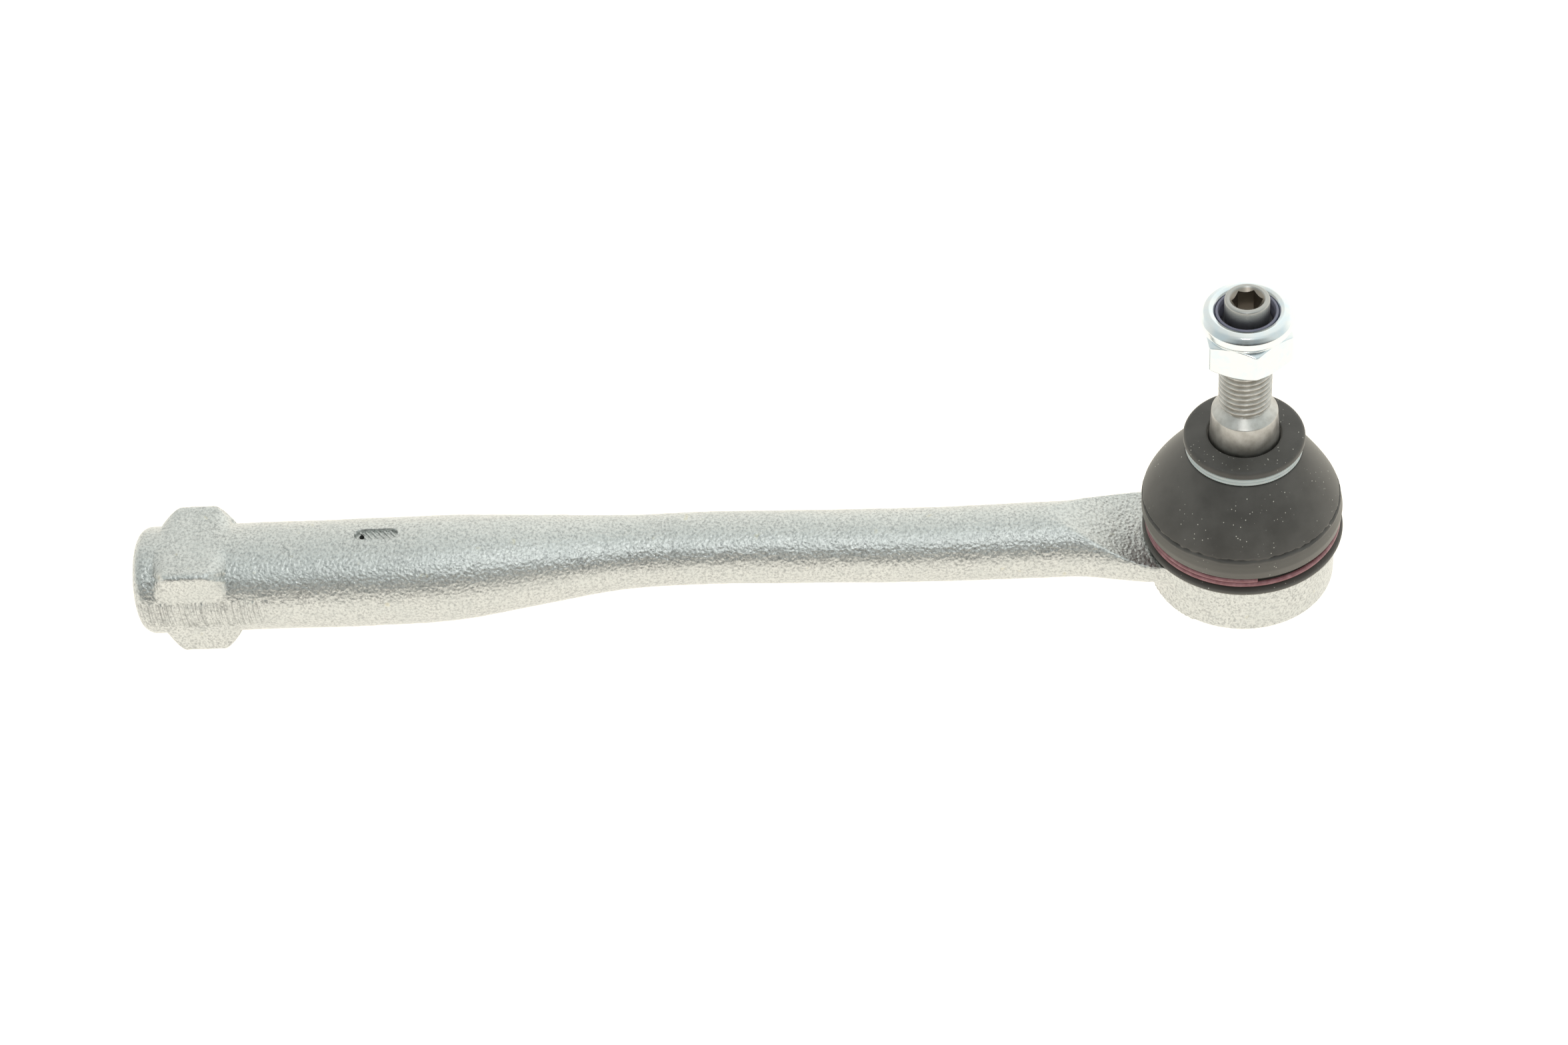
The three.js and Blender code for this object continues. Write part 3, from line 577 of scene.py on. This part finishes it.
# %% Broach the hexagon socket
def hexagon(angle, flats, turn=0.0, corner=0.0):
    """A hexagon's radius at an angle: flats/2 ÷ cos of the angle to the nearest flat's middle, with its corners
    cut back to a circle corner inside them."""
    from_flat = (angle - math.radians(turn)) % (math.pi / 3) - math.pi / 6
    sharp = flats / 2 / np.cos(from_flat)
    return soft_min(sharp, flats / math.sqrt(3) - corner, 0.15) if corner else sharp


socket_angle = angles(72)
socket_z = tip_z + np.array([-SOCKET_DEPTH, -0.75, 0.5])[:, None]
key_hole = surface("key_hole", around_z(hexagon(socket_angle, SOCKET_FLATS), socket_z, socket_angle))
entry_radius = SOCKET_FLATS / math.sqrt(3) + 0.5
entry = turned("entry", [
    (0, tip_z - 1.2), (SOCKET_FLATS / 2 - 0.3, tip_z - 1.2), (entry_radius, tip_z + 0.01),
    (entry_radius, tip_z + 0.5), (0, tip_z + 0.5),
], columns=72, step=3)
combined(stud, [("DIFFERENCE", key_hole), ("DIFFERENCE", entry)])
shade(stud, 38)
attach(stud, "stud")
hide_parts("ball_stud")
report(stud)

# %% [markdown]
# ## The lock nut
# A prevailing-torque nut is a hexagon with a round collar above it. The collar holds a nylon ring, and its rim is
# rolled in over the ring. Its outline runs up the outside, over the rim, into the pocket and back down through
# the thread. The hexagon is only a change of radius with angle, and the 30 degree chamfer that every nut has is
# a soft minimum with a cone, which draws the curved line across the top and bottom of each flat.

# %% Forge the nut
NUT_FLATS, NUT_TURN, HEX_HEIGHT = 19.0, 37, 8.2
COLLAR_RADIUS, COLLAR_WAIST, RIM_OPENING, POCKET_RADIUS = 10.5, 9.7, 7.1, 8.9
THREAD_PLAY = 0.2
CHAMFER_SLOPE, CHAMFER_RISE = math.tan(math.radians(60)), 1.4  # 30 degrees from level

nut_angle = angles(180, first=math.radians(NUT_TURN))
hex_top = nut_z + HEX_HEIGHT
hex_z = np.concatenate([
    spaced(nut_z, nut_z + CHAMFER_RISE, 0.1),
    spaced(nut_z + CHAMFER_RISE, hex_top - CHAMFER_RISE, 0.5),
    np.linspace(hex_top - CHAMFER_RISE, hex_top, 15),
])[:, None]
washer_face = NUT_FLATS / 2 - 0.2
cone = washer_face + CHAMFER_SLOPE * np.minimum(hex_z - nut_z, hex_top - hex_z)
hex_side = soft_min(hexagon(nut_angle, NUT_FLATS, NUT_TURN, corner=0.15), cone, 0.25)

collar = outline([
    (COLLAR_WAIST, hex_top), (COLLAR_WAIST, hex_top + 0.25, 0.2),
    (COLLAR_RADIUS, hex_top + 1.2, 1.0), (COLLAR_RADIUS, nut_top - 1.8, 1.1),
    (COLLAR_RADIUS - 1.0, nut_top - 0.4, 1.0), (COLLAR_RADIUS - 2.2, nut_top, 0.8),
    (RIM_OPENING + 0.4, nut_top - 0.25, 0.5), (RIM_OPENING, nut_top - 0.8, 0.3),
    (RIM_OPENING, nut_top - 1.3, 0.2), (POCKET_RADIUS, nut_top - 1.4, 0.1), (POCKET_RADIUS, insert_z - 0.3),
    (core + 0.3, insert_z - 0.3),
], step=0.35)
bore_z = spaced(nut_z, insert_z - 0.4, 0.12)[::-1, None]
bore_side = np.maximum(
    stud_thread(bore_z, nut_angle) + THREAD_PLAY, THREAD_RADIUS + 0.8 - np.maximum(0, bore_z - nut_z)
)
nut_radius = np.vstack([hex_side, every_way(collar, nut_angle), bore_side])
nut_height = np.concatenate([hex_z[:, 0], collar[:, 1], bore_z[:, 0]])[:, None]
nut = surface("fine_lock_nut", around_z(nut_radius, nut_height, nut_angle), ring=True)
shade(nut, 32)
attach(nut, "nut")
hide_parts("lock_nut")
report(nut)

# %% The nylon ring in the nut
ring_bore = THREAD_RADIUS + 0.1
bulge_radius, bulge_top = RIM_OPENING - 0.12, nut_top - 0.55
insert = turned("fine_nut_insert", [
    (ring_bore, insert_z), (insert_radius, insert_z, 0.2), (insert_radius, insert_top, 0.2),
    (bulge_radius, insert_top), (bulge_radius, bulge_top, 0.3), (ring_bore + 0.3, bulge_top, 0.25),
    (ring_bore, bulge_top - 0.8, 0.2),
], columns=96, step=0.5, ring=True)
shade(insert)
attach(insert, "nut_carrier")
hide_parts("nut_insert")
report(insert)

# %% [markdown]
# ## The dust boot
# The boot is moulded rubber, clamped into the cup's groove by a wire and round the stud by a pale band. It keeps
# grease in and water out. It could be a subdivided cage, but a moulded boot is a turned shape with two departures:
# it leans a little, as a boot does once it has been squeezed on, and the mould's two halves leave a ragged line
# round it. Both are added to the turned outline as functions of height and angle.

# %% Draw the boot's outline
BOOT_WALL, BOOT_RADIUS, WIDEST_RISE = 1.8, cup_radius + 1.4, 7.2
WIRE_RADIUS, WIRE_ROOM = 0.6, 0.15
wire_ring = BOOT_RADIUS - 0.2 - WIRE_RADIUS
widest_z = groove_top + WIDEST_RISE
seat_z = band_z - 0.3
lip_radius, lip_low = band_radius + 0.45, boot_top - 2.2
wire_seat = wire_ring - WIRE_RADIUS - WIRE_ROOM
wire_room = wire_high + WIRE_ROOM


def dome(t):
    """The boot's radius from its widest place (t = 0) to the shelf under the band (t = 1)."""
    return BOOT_RADIUS - (BOOT_RADIUS - band_radius) * t**1.25


up_dome = np.concatenate([spaced(0, 0.09, 0.006), np.linspace(0.09, 1, 42)])
outer_dome = np.column_stack([dome(up_dome), widest_z + (seat_z - widest_z) * up_dome])
down_dome = np.linspace(1, 0, 24)
inner_z = widest_z + (seat_z - BOOT_WALL - widest_z) * down_dome
inner_dome = np.column_stack([dome(down_dome) - BOOT_WALL, inner_z])
taper_radius = TAPER_RADIUS - (boot_top - taper_z) * TAPER_RATIO / 2
boot_outline = outline([
    (groove_radius + 0.3, boot_z), (bead_radius, boot_z, 0.45), (bead_radius, boot_z + 1, 0.45),
    (wire_seat, boot_z + 1.05, 0.2), (wire_seat, wire_room, 0.2), (BOOT_RADIUS, wire_room + 0.35, 0.35),
    (BOOT_RADIUS + 0.35, wire_room + 2.6, 1.6), (BOOT_RADIUS + 0.02, widest_z - 0.7),
    (BOOT_RADIUS, widest_z - 0.1), *map(tuple, outer_dome[:-1]), (*outer_dome[-1], 0.5),
    (band_radius - 2.0, seat_z, 0.2), (band_radius - 2.0, lip_low, 0.2), (lip_radius, lip_low, 0.5),
    (lip_radius, boot_top, 1.0), (taper_radius + 0.35, boot_top - 0.15, 0.5),
    (TAPER_RADIUS + 0.25, taper_z + 0.8, 0.4), *map(tuple, inner_dome),
    (collar_radius + 0.3, groove_top + 2.2, 0.5), (collar_radius + 0.3, groove_top - 0.3),
    (groove_radius + 0.3, groove_top - 0.3),
], step=0.42, ring=True)
print("boot outline:", len(boot_outline), "points")

# %% Mould the boot: lean and parting line
BOOT_LEAN, LINE_DEPTH, LINE_WIDTH = 0.6, 0.75, 0.3
boot_angle = angles(216)
boot_r, boot_h = boot_outline[:, :1], boot_outline[:, 1:]
skin = boot_r > dome(np.clip((boot_h - widest_z) / (seat_z - widest_z), 0, 1)) - 0.6
ring_path = around_z(BOOT_RADIUS, 0, boot_angle)
line_z = widest_z + 0.3 + 0.08 * uneven(ring_path, 9, seed=7) + 0.09 * uneven(ring_path, 1.5, seed=8)
torn = np.clip(0.75 + 0.45 * uneven(ring_path, 2.2, seed=9), 0.15, 1.3)
below_line = boot_h - line_z
parting = -LINE_DEPTH * torn * np.exp(-((below_line / LINE_WIDTH) ** 2))
parting += 0.09 * np.exp(-(((below_line + 0.6) / 0.25) ** 2))  # the faint bead under the line
moulded_r = boot_r + skin * parting
boot_points = around_z(moulded_r, boot_h, boot_angle)
leaning = np.sin(math.pi * np.clip((boot_h - wire_room) / (seat_z - wire_room), 0, 1))
boot_points[..., 0] -= BOOT_LEAN * leaning
boot = surface("fine_dust_boot", boot_points, ring=True)
shade(boot, 50)
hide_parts("dust_boot")
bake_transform(boot)
report(boot)

# %% [markdown]
# ## The boot's two rings
# The lower ring is coated spring wire wound a little over one and a half turns, so that it lies double on one
# side, and its end is snipped off square. It is a circle carried along a helix. The upper ring is a flat moulded
# band, a turned outline with a shallow groove round its middle.

# %% Wind the wire
WIRE_TURNS, WIRE_START = 1.6, -86
wire_pitch = (wire_high - wire_low - 2 * WIRE_RADIUS) / WIRE_TURNS
ends, rounded_end = np.array([0.0, 0.0004, 0.0012]), np.array([0.82, 0.95, 1.0])
wound = np.concatenate([ends, np.linspace(0, 1, 260)[1:-1], 1 - ends[::-1]])[:, None]  # from end to end
thickness = np.ones_like(wound)
thickness[:3, 0], thickness[-3:, 0] = rounded_end, rounded_end[::-1]
travel = math.radians(WIRE_START) - 2 * math.pi * WIRE_TURNS * wound
section_angle = angles(20)
wire_r = wire_ring + WIRE_RADIUS * thickness * np.cos(section_angle)
wire_middle = wire_high - WIRE_RADIUS - wire_pitch * WIRE_TURNS * wound
wire_z = wire_middle + WIRE_RADIUS * thickness * np.sin(section_angle)
wire = surface("fine_boot_lower_ring", around_z(wire_r, wire_z, travel))
shade(wire, 50)
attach(wire, "boot_base")
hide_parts("boot_lower_ring")
report(wire)

# %% Mould the band
BAND_WALL = 1.8
band_middle = (band_z + band_top) / 2
band = turned("fine_boot_upper_ring", [
    (band_radius - BAND_WALL, band_z), (band_radius, band_z, 0.35), (band_radius, band_middle - 0.12, 0.06),
    (band_radius - 0.16, band_middle, 0.03), (band_radius, band_middle + 0.12, 0.06),
    (band_radius, band_top, 0.35), (band_radius - BAND_WALL, band_top),
], columns=144, step=0.4, ring=True)
shade(band, 50)
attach(band, "boot_collar")
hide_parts("boot_upper_ring")
report(band)

# %% [markdown]
# ## Materials
# Each finish starts from what the real one is, and its patterns are sized in millimetres. Two helpers keep the
# node trees short: one turns a hex colour as seen on a screen into the linear light that a shader works in, and
# one adds a node with its settings and links. A node stands for its first output, so a tree reads as a sum does.

# %% Helpers for materials
def colour(hex_code):
    """An sRGB hex colour as linear light: each channel c becomes ((c + 0.055) / 1.055)^2.4, or c / 12.92 where
    it is dark."""
    screen = np.array([int(hex_code[i:i + 2], 16) / 255 for i in (1, 3, 5)])
    linear = np.where(screen <= 0.04045, screen / 12.92, ((screen + 0.055) / 1.055) ** 2.4)
    return (*linear.tolist(), 1.0)


def plug(node, inputs):
    """Gives each of a node's inputs a value, a hex colour, or something to follow: another node's output, or the
    node itself, for its first output in use."""
    for name, value in inputs.items():
        if isinstance(value, bpy.types.Node):
            value = next(output for output in value.outputs if output.enabled)
        if isinstance(value, bpy.types.NodeSocket):
            node.id_data.links.new(value, node.inputs[name])
        else:
            node.inputs[name].default_value = colour(value) if isinstance(value, str) else value


def add(owner, kind, inputs=None, **settings):
    """Adds a node to a material or world, with its settings, and plugs in its inputs."""
    node = owner.node_tree.nodes.new("ShaderNode" + kind)
    for name, value in settings.items():
        setattr(node, name, value)
    plug(node, inputs or {})
    return node


def new_material(name, **sockets):
    """A material with a Principled shader, and the Object coordinates that its patterns read. sockets are the
    shader's uniform values, with _ for a space."""
    material = bpy.data.materials.new(name)
    material.use_nodes = True
    material.node_tree.nodes.clear()
    shader = add(material, "BsdfPrincipled", {k.replace("_", " "): v for k, v in sockets.items()})
    add(material, "OutputMaterial", {"Surface": shader})
    place = add(material, "TexCoord").outputs["Object"]
    return material, shader, place


def per(millimetres):
    """The scale of a pattern whose features are that many millimetres apart."""
    return 1 / (millimetres * MM)


def two_tone(material, shader, pattern, dark, light, smooth, rough):
    """Lets a pattern run the base colour from dark to light, and the roughness from smooth to rough."""
    tone = add(material, "Mix", {0: pattern, 6: dark, 7: light}, data_type="RGBA")
    spread = add(material, "MapRange", {"Value": pattern, "To Min": smooth, "To Max": rough})
    plug(shader, {"Base Color": tone, "Roughness": spread})


def cover(material, *pieces):
    """Gives each piece this material and no other, and prints which."""
    for piece in pieces:
        piece.data.materials.clear()
        piece.data.materials.append(material)
    print(f"{material.name} on {', '.join(piece.name for piece in pieces)}")


# %% [markdown]
# ### Zinc over a shot-blasted forging
# The forging is blasted with steel shot, which leaves dimples a little under a millimetre across, and then
# electroplated with zinc. Zinc is a light, slightly blue metal. The dimples spread its reflections wide, so it
# looks pale and grainy rather than shiny, with sparkle where a dimple faces a lamp. The pits, the grain's low
# places, are painted darker as painted shade, and a trace of yellow passivate gathers in a few places.

# %% Zinc plated forging
forging, shader, place = new_material("zinc_over_blasted_steel", Metallic=1.0)
dimples = add(forging, "TexVoronoi", {
    "Vector": place, "Scale": per(0.85), "Smoothness": 0.6,
}, feature="SMOOTH_F1")
grit = add(forging, "TexNoise", {"Vector": place, "Scale": per(0.62), "Detail": 3.0, "Roughness": 0.7})
patches = add(forging, "TexNoise", {"Vector": place, "Scale": per(7), "Detail": 3.0, "Roughness": 0.6})
relief = add(forging, "Math", {0: grit, 1: 1.1, 2: dimples.outputs["Distance"]}, operation="MULTIPLY_ADD")

# the flash that squeezed out between the dies was sheared off beside the boss, which left upright lines
SHEAR_RISE, SHEAR_FADE, SHEAR_START, SHEAR_END, SHEAR_DEPTH = 4.3, 0.9, 13, 21, 4.0
full_rise = SHEAR_RISE - SHEAR_FADE
axes = add(forging, "SeparateXYZ", {0: place})
trim_low = add(forging, "MapRange", {
    "Value": axes.outputs["Z"], "From Min": (axis_z - SHEAR_RISE) * MM, "From Max": (axis_z - full_rise) * MM,
})
trim_high = add(forging, "MapRange", {
    "Value": axes.outputs["Z"], "From Min": (axis_z + SHEAR_RISE) * MM, "From Max": (axis_z + full_rise) * MM,
})
trim_along = add(forging, "MapRange", {
    "Value": axes.outputs["X"],
    "From Min": (boss_x + SHEAR_END) * MM, "From Max": (boss_x + SHEAR_START) * MM,
})
trim_band = add(forging, "Math", {0: trim_low, 1: trim_high}, operation="MULTIPLY")
trimmed = add(forging, "Math", {0: trim_band, 1: trim_along}, operation="MULTIPLY")
upright_lines = add(forging, "Mapping", {"Vector": place, "Scale": (per(0.9), per(30), per(14))})
shear = add(forging, "TexNoise", {"Vector": upright_lines, "Scale": 1.0, "Detail": 2.0})
lines = add(forging, "MapRange", {"Value": shear, "From Min": 0.3, "From Max": 0.7, "To Min": -1.0})
sheared = add(forging, "Math", {0: lines, 1: trimmed}, operation="MULTIPLY")
height = add(forging, "Math", {
    0: sheared, 1: SHEAR_DEPTH, 2: relief,
}, operation="MULTIPLY_ADD")
bump = add(forging, "Bump", {"Strength": 0.8, "Distance": 0.17 * MM, "Height": height})

# painted shade: the low places of the grain, the pits, are coloured darker than the zinc around them
painted_pit_shade = add(forging, "MapRange", {"Value": grit, "From Min": 0.34, "From Max": 0.56})
zinc = add(forging, "Mix", {0: painted_pit_shade, 6: "#a4a6a5", 7: "#d8dad7"}, data_type="RGBA")
cloudy = add(forging, "MapRange", {"Value": patches, "From Min": 0.35, "From Max": 0.7, "To Max": 0.4})
clouded = add(forging, "Mix", {0: cloudy, 6: zinc, 7: "#cdd1cf"}, data_type="RGBA")
passivate = add(forging, "TexNoise", {"Vector": place, "Scale": per(3.2), "Detail": 2.0})
spots = add(forging, "MapRange", {"Value": passivate, "From Min": 0.7, "From Max": 0.8, "To Max": 0.3})
tinted = add(forging, "Mix", {0: spots, 6: clouded, 7: "#d9cd94"}, data_type="RGBA")
spread = add(forging, "MapRange", {"Value": patches, "To Min": 0.28, "To Max": 0.42})
plug(shader, {"Base Color": tinted, "Roughness": spread, "Normal": bump})
cover(forging, housing)

# %% [markdown]
# ### Bright zinc
# The nut and the plate are plated with bright zinc over smooth steel. The same metal now reflects almost like a
# mirror, with a faint blue and a little waviness from tumbling in the plating barrel.

# %% Bright zinc
bright, shader, place = new_material("barrel_plated_bright_zinc", Metallic=1.0)
tumbled = add(bright, "TexNoise", {"Vector": place, "Scale": per(2.6), "Detail": 3.0})
bruises = add(bright, "TexNoise", {"Vector": place, "Scale": per(0.5), "Detail": 2.0})
wave = add(bright, "Math", {0: bruises, 1: 0.12, 2: tumbled}, operation="MULTIPLY_ADD")
bump = add(bright, "Bump", {"Strength": 0.3, "Distance": 0.04 * MM, "Height": wave})
hue = add(bright, "MapRange", {"Value": tumbled, "From Min": 0.35, "From Max": 0.68})
sheen = add(bright, "Mix", {0: hue, 6: "#e9ecec", 7: "#dde8ee"}, data_type="RGBA")
spread = add(bright, "MapRange", {"Value": bruises, "To Min": 0.12, "To Max": 0.26})
plug(shader, {"Base Color": sheen, "Roughness": spread, "Normal": bump})
cover(bright, nut, plate)

# %% [markdown]
# ### Turned and rolled steel
# The stud is bare steel with a film of oil. Turning leaves fine rings round it, about a tenth of a millimetre
# apart, which blur its reflections up and down more than sideways. The rings are a noise that changes only with
# height. The tip above the thread kept its heat-treated skin, and its socket is painted darker, as painted shade.

# %% Turned steel
steel, shader, place = new_material("turned_and_oiled_steel", Metallic=1.0)
rings = add(steel, "Mapping", {"Vector": place, "Scale": (per(40), per(40), per(0.16))})
turning = add(steel, "TexNoise", {"Vector": rings, "Scale": 1.0, "Detail": 2.0})
stain = add(steel, "TexNoise", {"Vector": place, "Scale": per(2.4), "Detail": 4.0, "Roughness": 0.6})
bump = add(steel, "Bump", {"Strength": 0.35, "Distance": 0.02 * MM, "Height": turning})
axes = add(steel, "SeparateXYZ", {0: place})
skin_mask = add(steel, "MapRange", {
    "Value": axes.outputs["Z"], "From Min": (thread_top - 1.5) * MM, "From Max": (thread_top + 0.3) * MM,
})
stained = add(steel, "MapRange", {"Value": stain, "From Min": 0.35, "From Max": 0.65})
bare = add(steel, "Mix", {0: stained, 6: "#b2b0ab", 7: "#c9c8c4"}, data_type="RGBA")
skinned = add(steel, "Mix", {0: skin_mask, 6: bare, 7: "#b3b3b0"}, data_type="RGBA")
outward = add(steel, "VectorMath", {0: place, 1: (1, 1, 0)}, operation="MULTIPLY")
from_axis = add(steel, "VectorMath", {0: outward}, operation="LENGTH")
# painted shade: inside the hex socket the steel is coloured darker
in_socket = add(steel, "MapRange", {
    "Value": from_axis, "From Min": 3.9 * MM, "From Max": 3.6 * MM,
})
painted_socket_shade = add(steel, "Math", {0: in_socket, 1: skin_mask}, operation="MULTIPLY")
finished = add(steel, "Mix", {0: painted_socket_shade, 6: skinned, 7: "#9c948a"}, data_type="RGBA")
spread = add(steel, "MapRange", {"Value": stain, "To Min": 0.32, "To Max": 0.46})
plug(shader, {"Base Color": finished, "Roughness": spread, "Normal": bump})
cover(steel, stud)

# %% [markdown]
# ### Moulded rubber
# Chloroprene rubber is nearly black and matt, with a grey bloom. The mould is spark-eroded, which leaves a fine
# grain, and the rubber picks up pale dust. Below the parting line the skin is painted greyer, as painted light
# thrown up from the bright floor. The dust is the middles of some cells of a Voronoi pattern, kept to a few
# patches by a slow noise, and its specks are drawn a little coarser than real ones.

# %% Boot rubber
rubber, shader, place = new_material(
    "moulded_chloroprene", IOR=1.52, Sheen_Weight=0.42, Sheen_Roughness=0.4, Sheen_Tint="#d8d4c8",
)
grain = add(rubber, "TexNoise", {"Vector": place, "Scale": per(0.3), "Detail": 2.0})
bloom = add(rubber, "TexNoise", {"Vector": place, "Scale": per(9), "Detail": 4.0, "Roughness": 0.55})
bump = add(rubber, "Bump", {"Strength": 0.25, "Distance": 0.03 * MM, "Height": grain})
grey = add(rubber, "MapRange", {"Value": bloom, "From Min": 0.35, "From Max": 0.65})
faded = add(rubber, "Mix", {0: grey, 6: "#403e3b", 7: "#504e4b"}, data_type="RGBA")
axes = add(rubber, "SeparateXYZ", {0: place})
# painted light: below the parting line the rubber is coloured greyer, for the light the floor throws up
painted_floor_light = add(rubber, "MapRange", {
    "Value": axes.outputs["Z"],
    "From Min": (widest_z + 0.2) * MM, "From Max": (widest_z - 2) * MM, "To Max": 0.3,
})
floor_lit_rubber = add(rubber, "Mix", {0: painted_floor_light, 6: faded, 7: "#7d7a72"}, data_type="RGBA")
dust = add(rubber, "TexVoronoi", {"Vector": place, "Scale": per(0.95), "Randomness": 1.0})
speck = add(rubber, "MapRange", {
    "Value": dust.outputs["Distance"], "From Min": 0.15, "From Max": 0.1, "To Max": 0.9,
})
pick = add(rubber, "SeparateXYZ", {0: dust.outputs["Color"]})
few = add(rubber, "Math", {0: pick.outputs["X"], 1: 0.4}, operation="GREATER_THAN")
gathered = add(rubber, "TexNoise", {"Vector": place, "Scale": per(8), "Detail": 1.0})
patch = add(rubber, "MapRange", {"Value": gathered, "From Min": 0.47, "From Max": 0.58})
some = add(rubber, "Math", {0: few, 1: patch}, operation="MULTIPLY")
dusted = add(rubber, "Math", {0: speck, 1: some}, operation="MULTIPLY")
dusty = add(rubber, "Mix", {0: dusted, 6: floor_lit_rubber, 7: "#d6d3c9"}, data_type="RGBA")
spread = add(rubber, "MapRange", {"Value": bloom, "To Min": 0.5, "To Max": 0.66})
plug(shader, {"Base Color": dusty, "Roughness": spread, "Normal": bump})
cover(rubber, boot)

# %% [markdown]
# ### Coated wire, moulded band, nylon
# The wire has a dull red coating, a little worn in patches. The band is a pale, slightly see-through
# plastic. Nylon is tough and waxy, and this ring is dyed a dark violet blue. Plastics have an index of
# refraction near 1.5 and get their look from how the mould left them.

# %% Coated wire
coating, shader, place = new_material(
    "red_coated_spring_wire", IOR=1.5, Coat_Weight=0.25, Coat_Roughness=0.25,
)
wear = add(coating, "TexNoise", {"Vector": place, "Scale": per(1.4), "Detail": 3.0})
worn = add(coating, "MapRange", {"Value": wear, "From Min": 0.4, "From Max": 0.7})
red = add(coating, "Mix", {0: worn, 6: "#88575c", 7: "#a07176"}, data_type="RGBA")
spread = add(coating, "MapRange", {"Value": wear, "To Min": 0.35, "To Max": 0.55})
bump = add(coating, "Bump", {"Strength": 0.3, "Distance": 0.03 * MM, "Height": wear})
plug(shader, {"Base Color": red, "Roughness": spread, "Normal": bump})
cover(coating, wire)

# %% Pale band and nylon
for name, piece, dark, light, smooth, rough in (
    ("pale_moulded_plastic", band, "#a9b3b4", "#c3cccc", 0.3, 0.45),
    ("dyed_nylon", insert, "#70707f", "#86869a", 0.35, 0.55),
):
    plastic, shader, place = new_material(name, IOR=1.53, Subsurface_Weight=0.1, Subsurface_Scale=0.6 * MM)
    flow = add(plastic, "TexNoise", {"Vector": place, "Scale": per(3), "Detail": 3.0})
    fine = add(plastic, "TexNoise", {"Vector": place, "Scale": per(0.35), "Detail": 2.0})
    two_tone(plastic, shader, flow, dark, light, smooth, rough)
    bump = add(plastic, "Bump", {"Strength": 0.2, "Distance": 0.02 * MM, "Height": fine})
    plug(shader, {"Normal": bump})
    cover(plastic, piece)

# %% [markdown]
# ### Inside the cup
# The spring and the two bearing shells stay as the frame has them, because nobody sees them unless the joint is
# taken apart. They still get their real finishes: oiled spring steel, and cream acetal, a slippery plastic.

# %% Finishes for the hidden pieces
oiled, shader, place = new_material("oiled_spring_steel", Metallic=1.0)
rolled_grain = add(oiled, "TexNoise", {"Vector": place, "Scale": per(0.8), "Detail": 3.0})
two_tone(oiled, shader, rolled_grain, "#5f6163", "#85878a", 0.25, 0.45)
cover(oiled, frame["nodes"]["preload_spring"])

acetal, shader, place = new_material(
    "cream_acetal", IOR=1.48, Subsurface_Weight=0.15, Subsurface_Scale=1.0 * MM,
)
flow = add(acetal, "TexNoise", {"Vector": place, "Scale": per(4), "Detail": 3.0})
two_tone(acetal, shader, flow, "#dcd6c6", "#ece8dc", 0.35, 0.5)
cover(acetal, frame["nodes"]["bearing_shell_lower"], frame["nodes"]["bearing_shell_upper"])
print("materials:", sorted(m.name for m in bpy.data.materials if m.users))

# %% [markdown]
# ## Floor and light
# Small metal parts are often shown on a lit white table, which lifts their undersides and swallows their
# shadows, so the floor here glows. A small softbox hangs above and in front. The room's far wall is pale, its
# ceiling is a little greyer, and the room grows brighter towards +X. A narrow dark strip stands low in front,
# where the camera is, and the metal reflects it as the grey band along the arm.

# %% Floor
floor_mesh = bpy.data.meshes.new("floor")
half = 6.0
corners = [(-half, -half, 0), (half, -half, 0), (half, half, 0), (-half, half, 0)]
floor_mesh.from_pydata(corners, [], [(0, 1, 2, 3)])
floor = bpy.data.objects.new("floor", floor_mesh)
floor.location.z = -0.0003
bpy.context.scene.collection.objects.link(floor)
glow, _, _ = new_material(
    "lit_table", Base_Color="#69686a", Roughness=0.9, Emission_Color="#fff9ed", Emission_Strength=1.17,
)
cover(glow, floor)
floor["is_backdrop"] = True


# %% Softbox
LAMP_PLACE, LAMP_AIM = Vector((-0.07, -0.56, 0.78)), Vector((-0.07, 0, 0))
softbox = bpy.data.lights.new("softbox", "AREA")
softbox.shape = "RECTANGLE"
softbox.size, softbox.size_y = 0.15, 0.06
softbox.energy = 0.85
lamp = bpy.data.objects.new("softbox", softbox)
facing = (LAMP_AIM - LAMP_PLACE).to_track_quat("-Z", "Y").to_matrix().to_4x4()
lamp.matrix_world = Matrix.Translation(LAMP_PLACE) @ facing
bpy.context.scene.collection.objects.link(lamp)

# %% Room
world = bpy.data.worlds.new("room")
world.use_nodes = True
world.node_tree.nodes.clear()
direction = add(world, "TexCoord").outputs["Generated"]
flattened = add(world, "VectorMath", {0: direction, 1: (0.35, 1, 1)}, operation="MULTIPLY")
level_view = add(world, "VectorMath", {0: flattened}, operation="NORMALIZE")
dark_side = Vector((0, -1, 0.07)).normalized()
towards = add(world, "VectorMath", {0: level_view, 1: dark_side}, operation="DOT_PRODUCT")
shadowed = add(world, "MapRange", {
    "Value": towards, "From Min": 0.80, "From Max": 0.98,
}, interpolation_type="SMOOTHSTEP")
ceiling = add(world, "MapRange", {"Value": towards, "From Min": -1, "From Max": 0.5})
bright_room = add(world, "Mix", {0: ceiling, 6: "#f8f8f2", 7: "#c7cecd"}, data_type="RGBA")
room = add(world, "Mix", {0: shadowed, 6: bright_room, 7: "#33322f"}, data_type="RGBA")
side = add(world, "SeparateXYZ", {0: direction})
room_strength = add(world, "MapRange", {
    "Value": side.outputs["X"], "From Min": -0.25, "From Max": 0.05, "To Min": 1.06, "To Max": 1.38,
})
backdrop = add(world, "Background", {"Color": room, "Strength": room_strength})
add(world, "OutputWorld", {"Surface": backdrop})
bpy.context.scene.world = world
bpy.context.scene.view_settings.view_transform = "Standard"
print("world:", world.name, "with", len(world.node_tree.nodes), "nodes")

# %% Compare the size with the frame, and finish
visual_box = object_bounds()
for axis, low, high, cad_low, cad_high in zip("XYZ", *visual_box, *cad_box):
    print(f"{axis}: visual {low / MM:.1f} to {high / MM:.1f} mm, frame {cad_low / MM:.1f} to {cad_high / MM:.1f} mm")
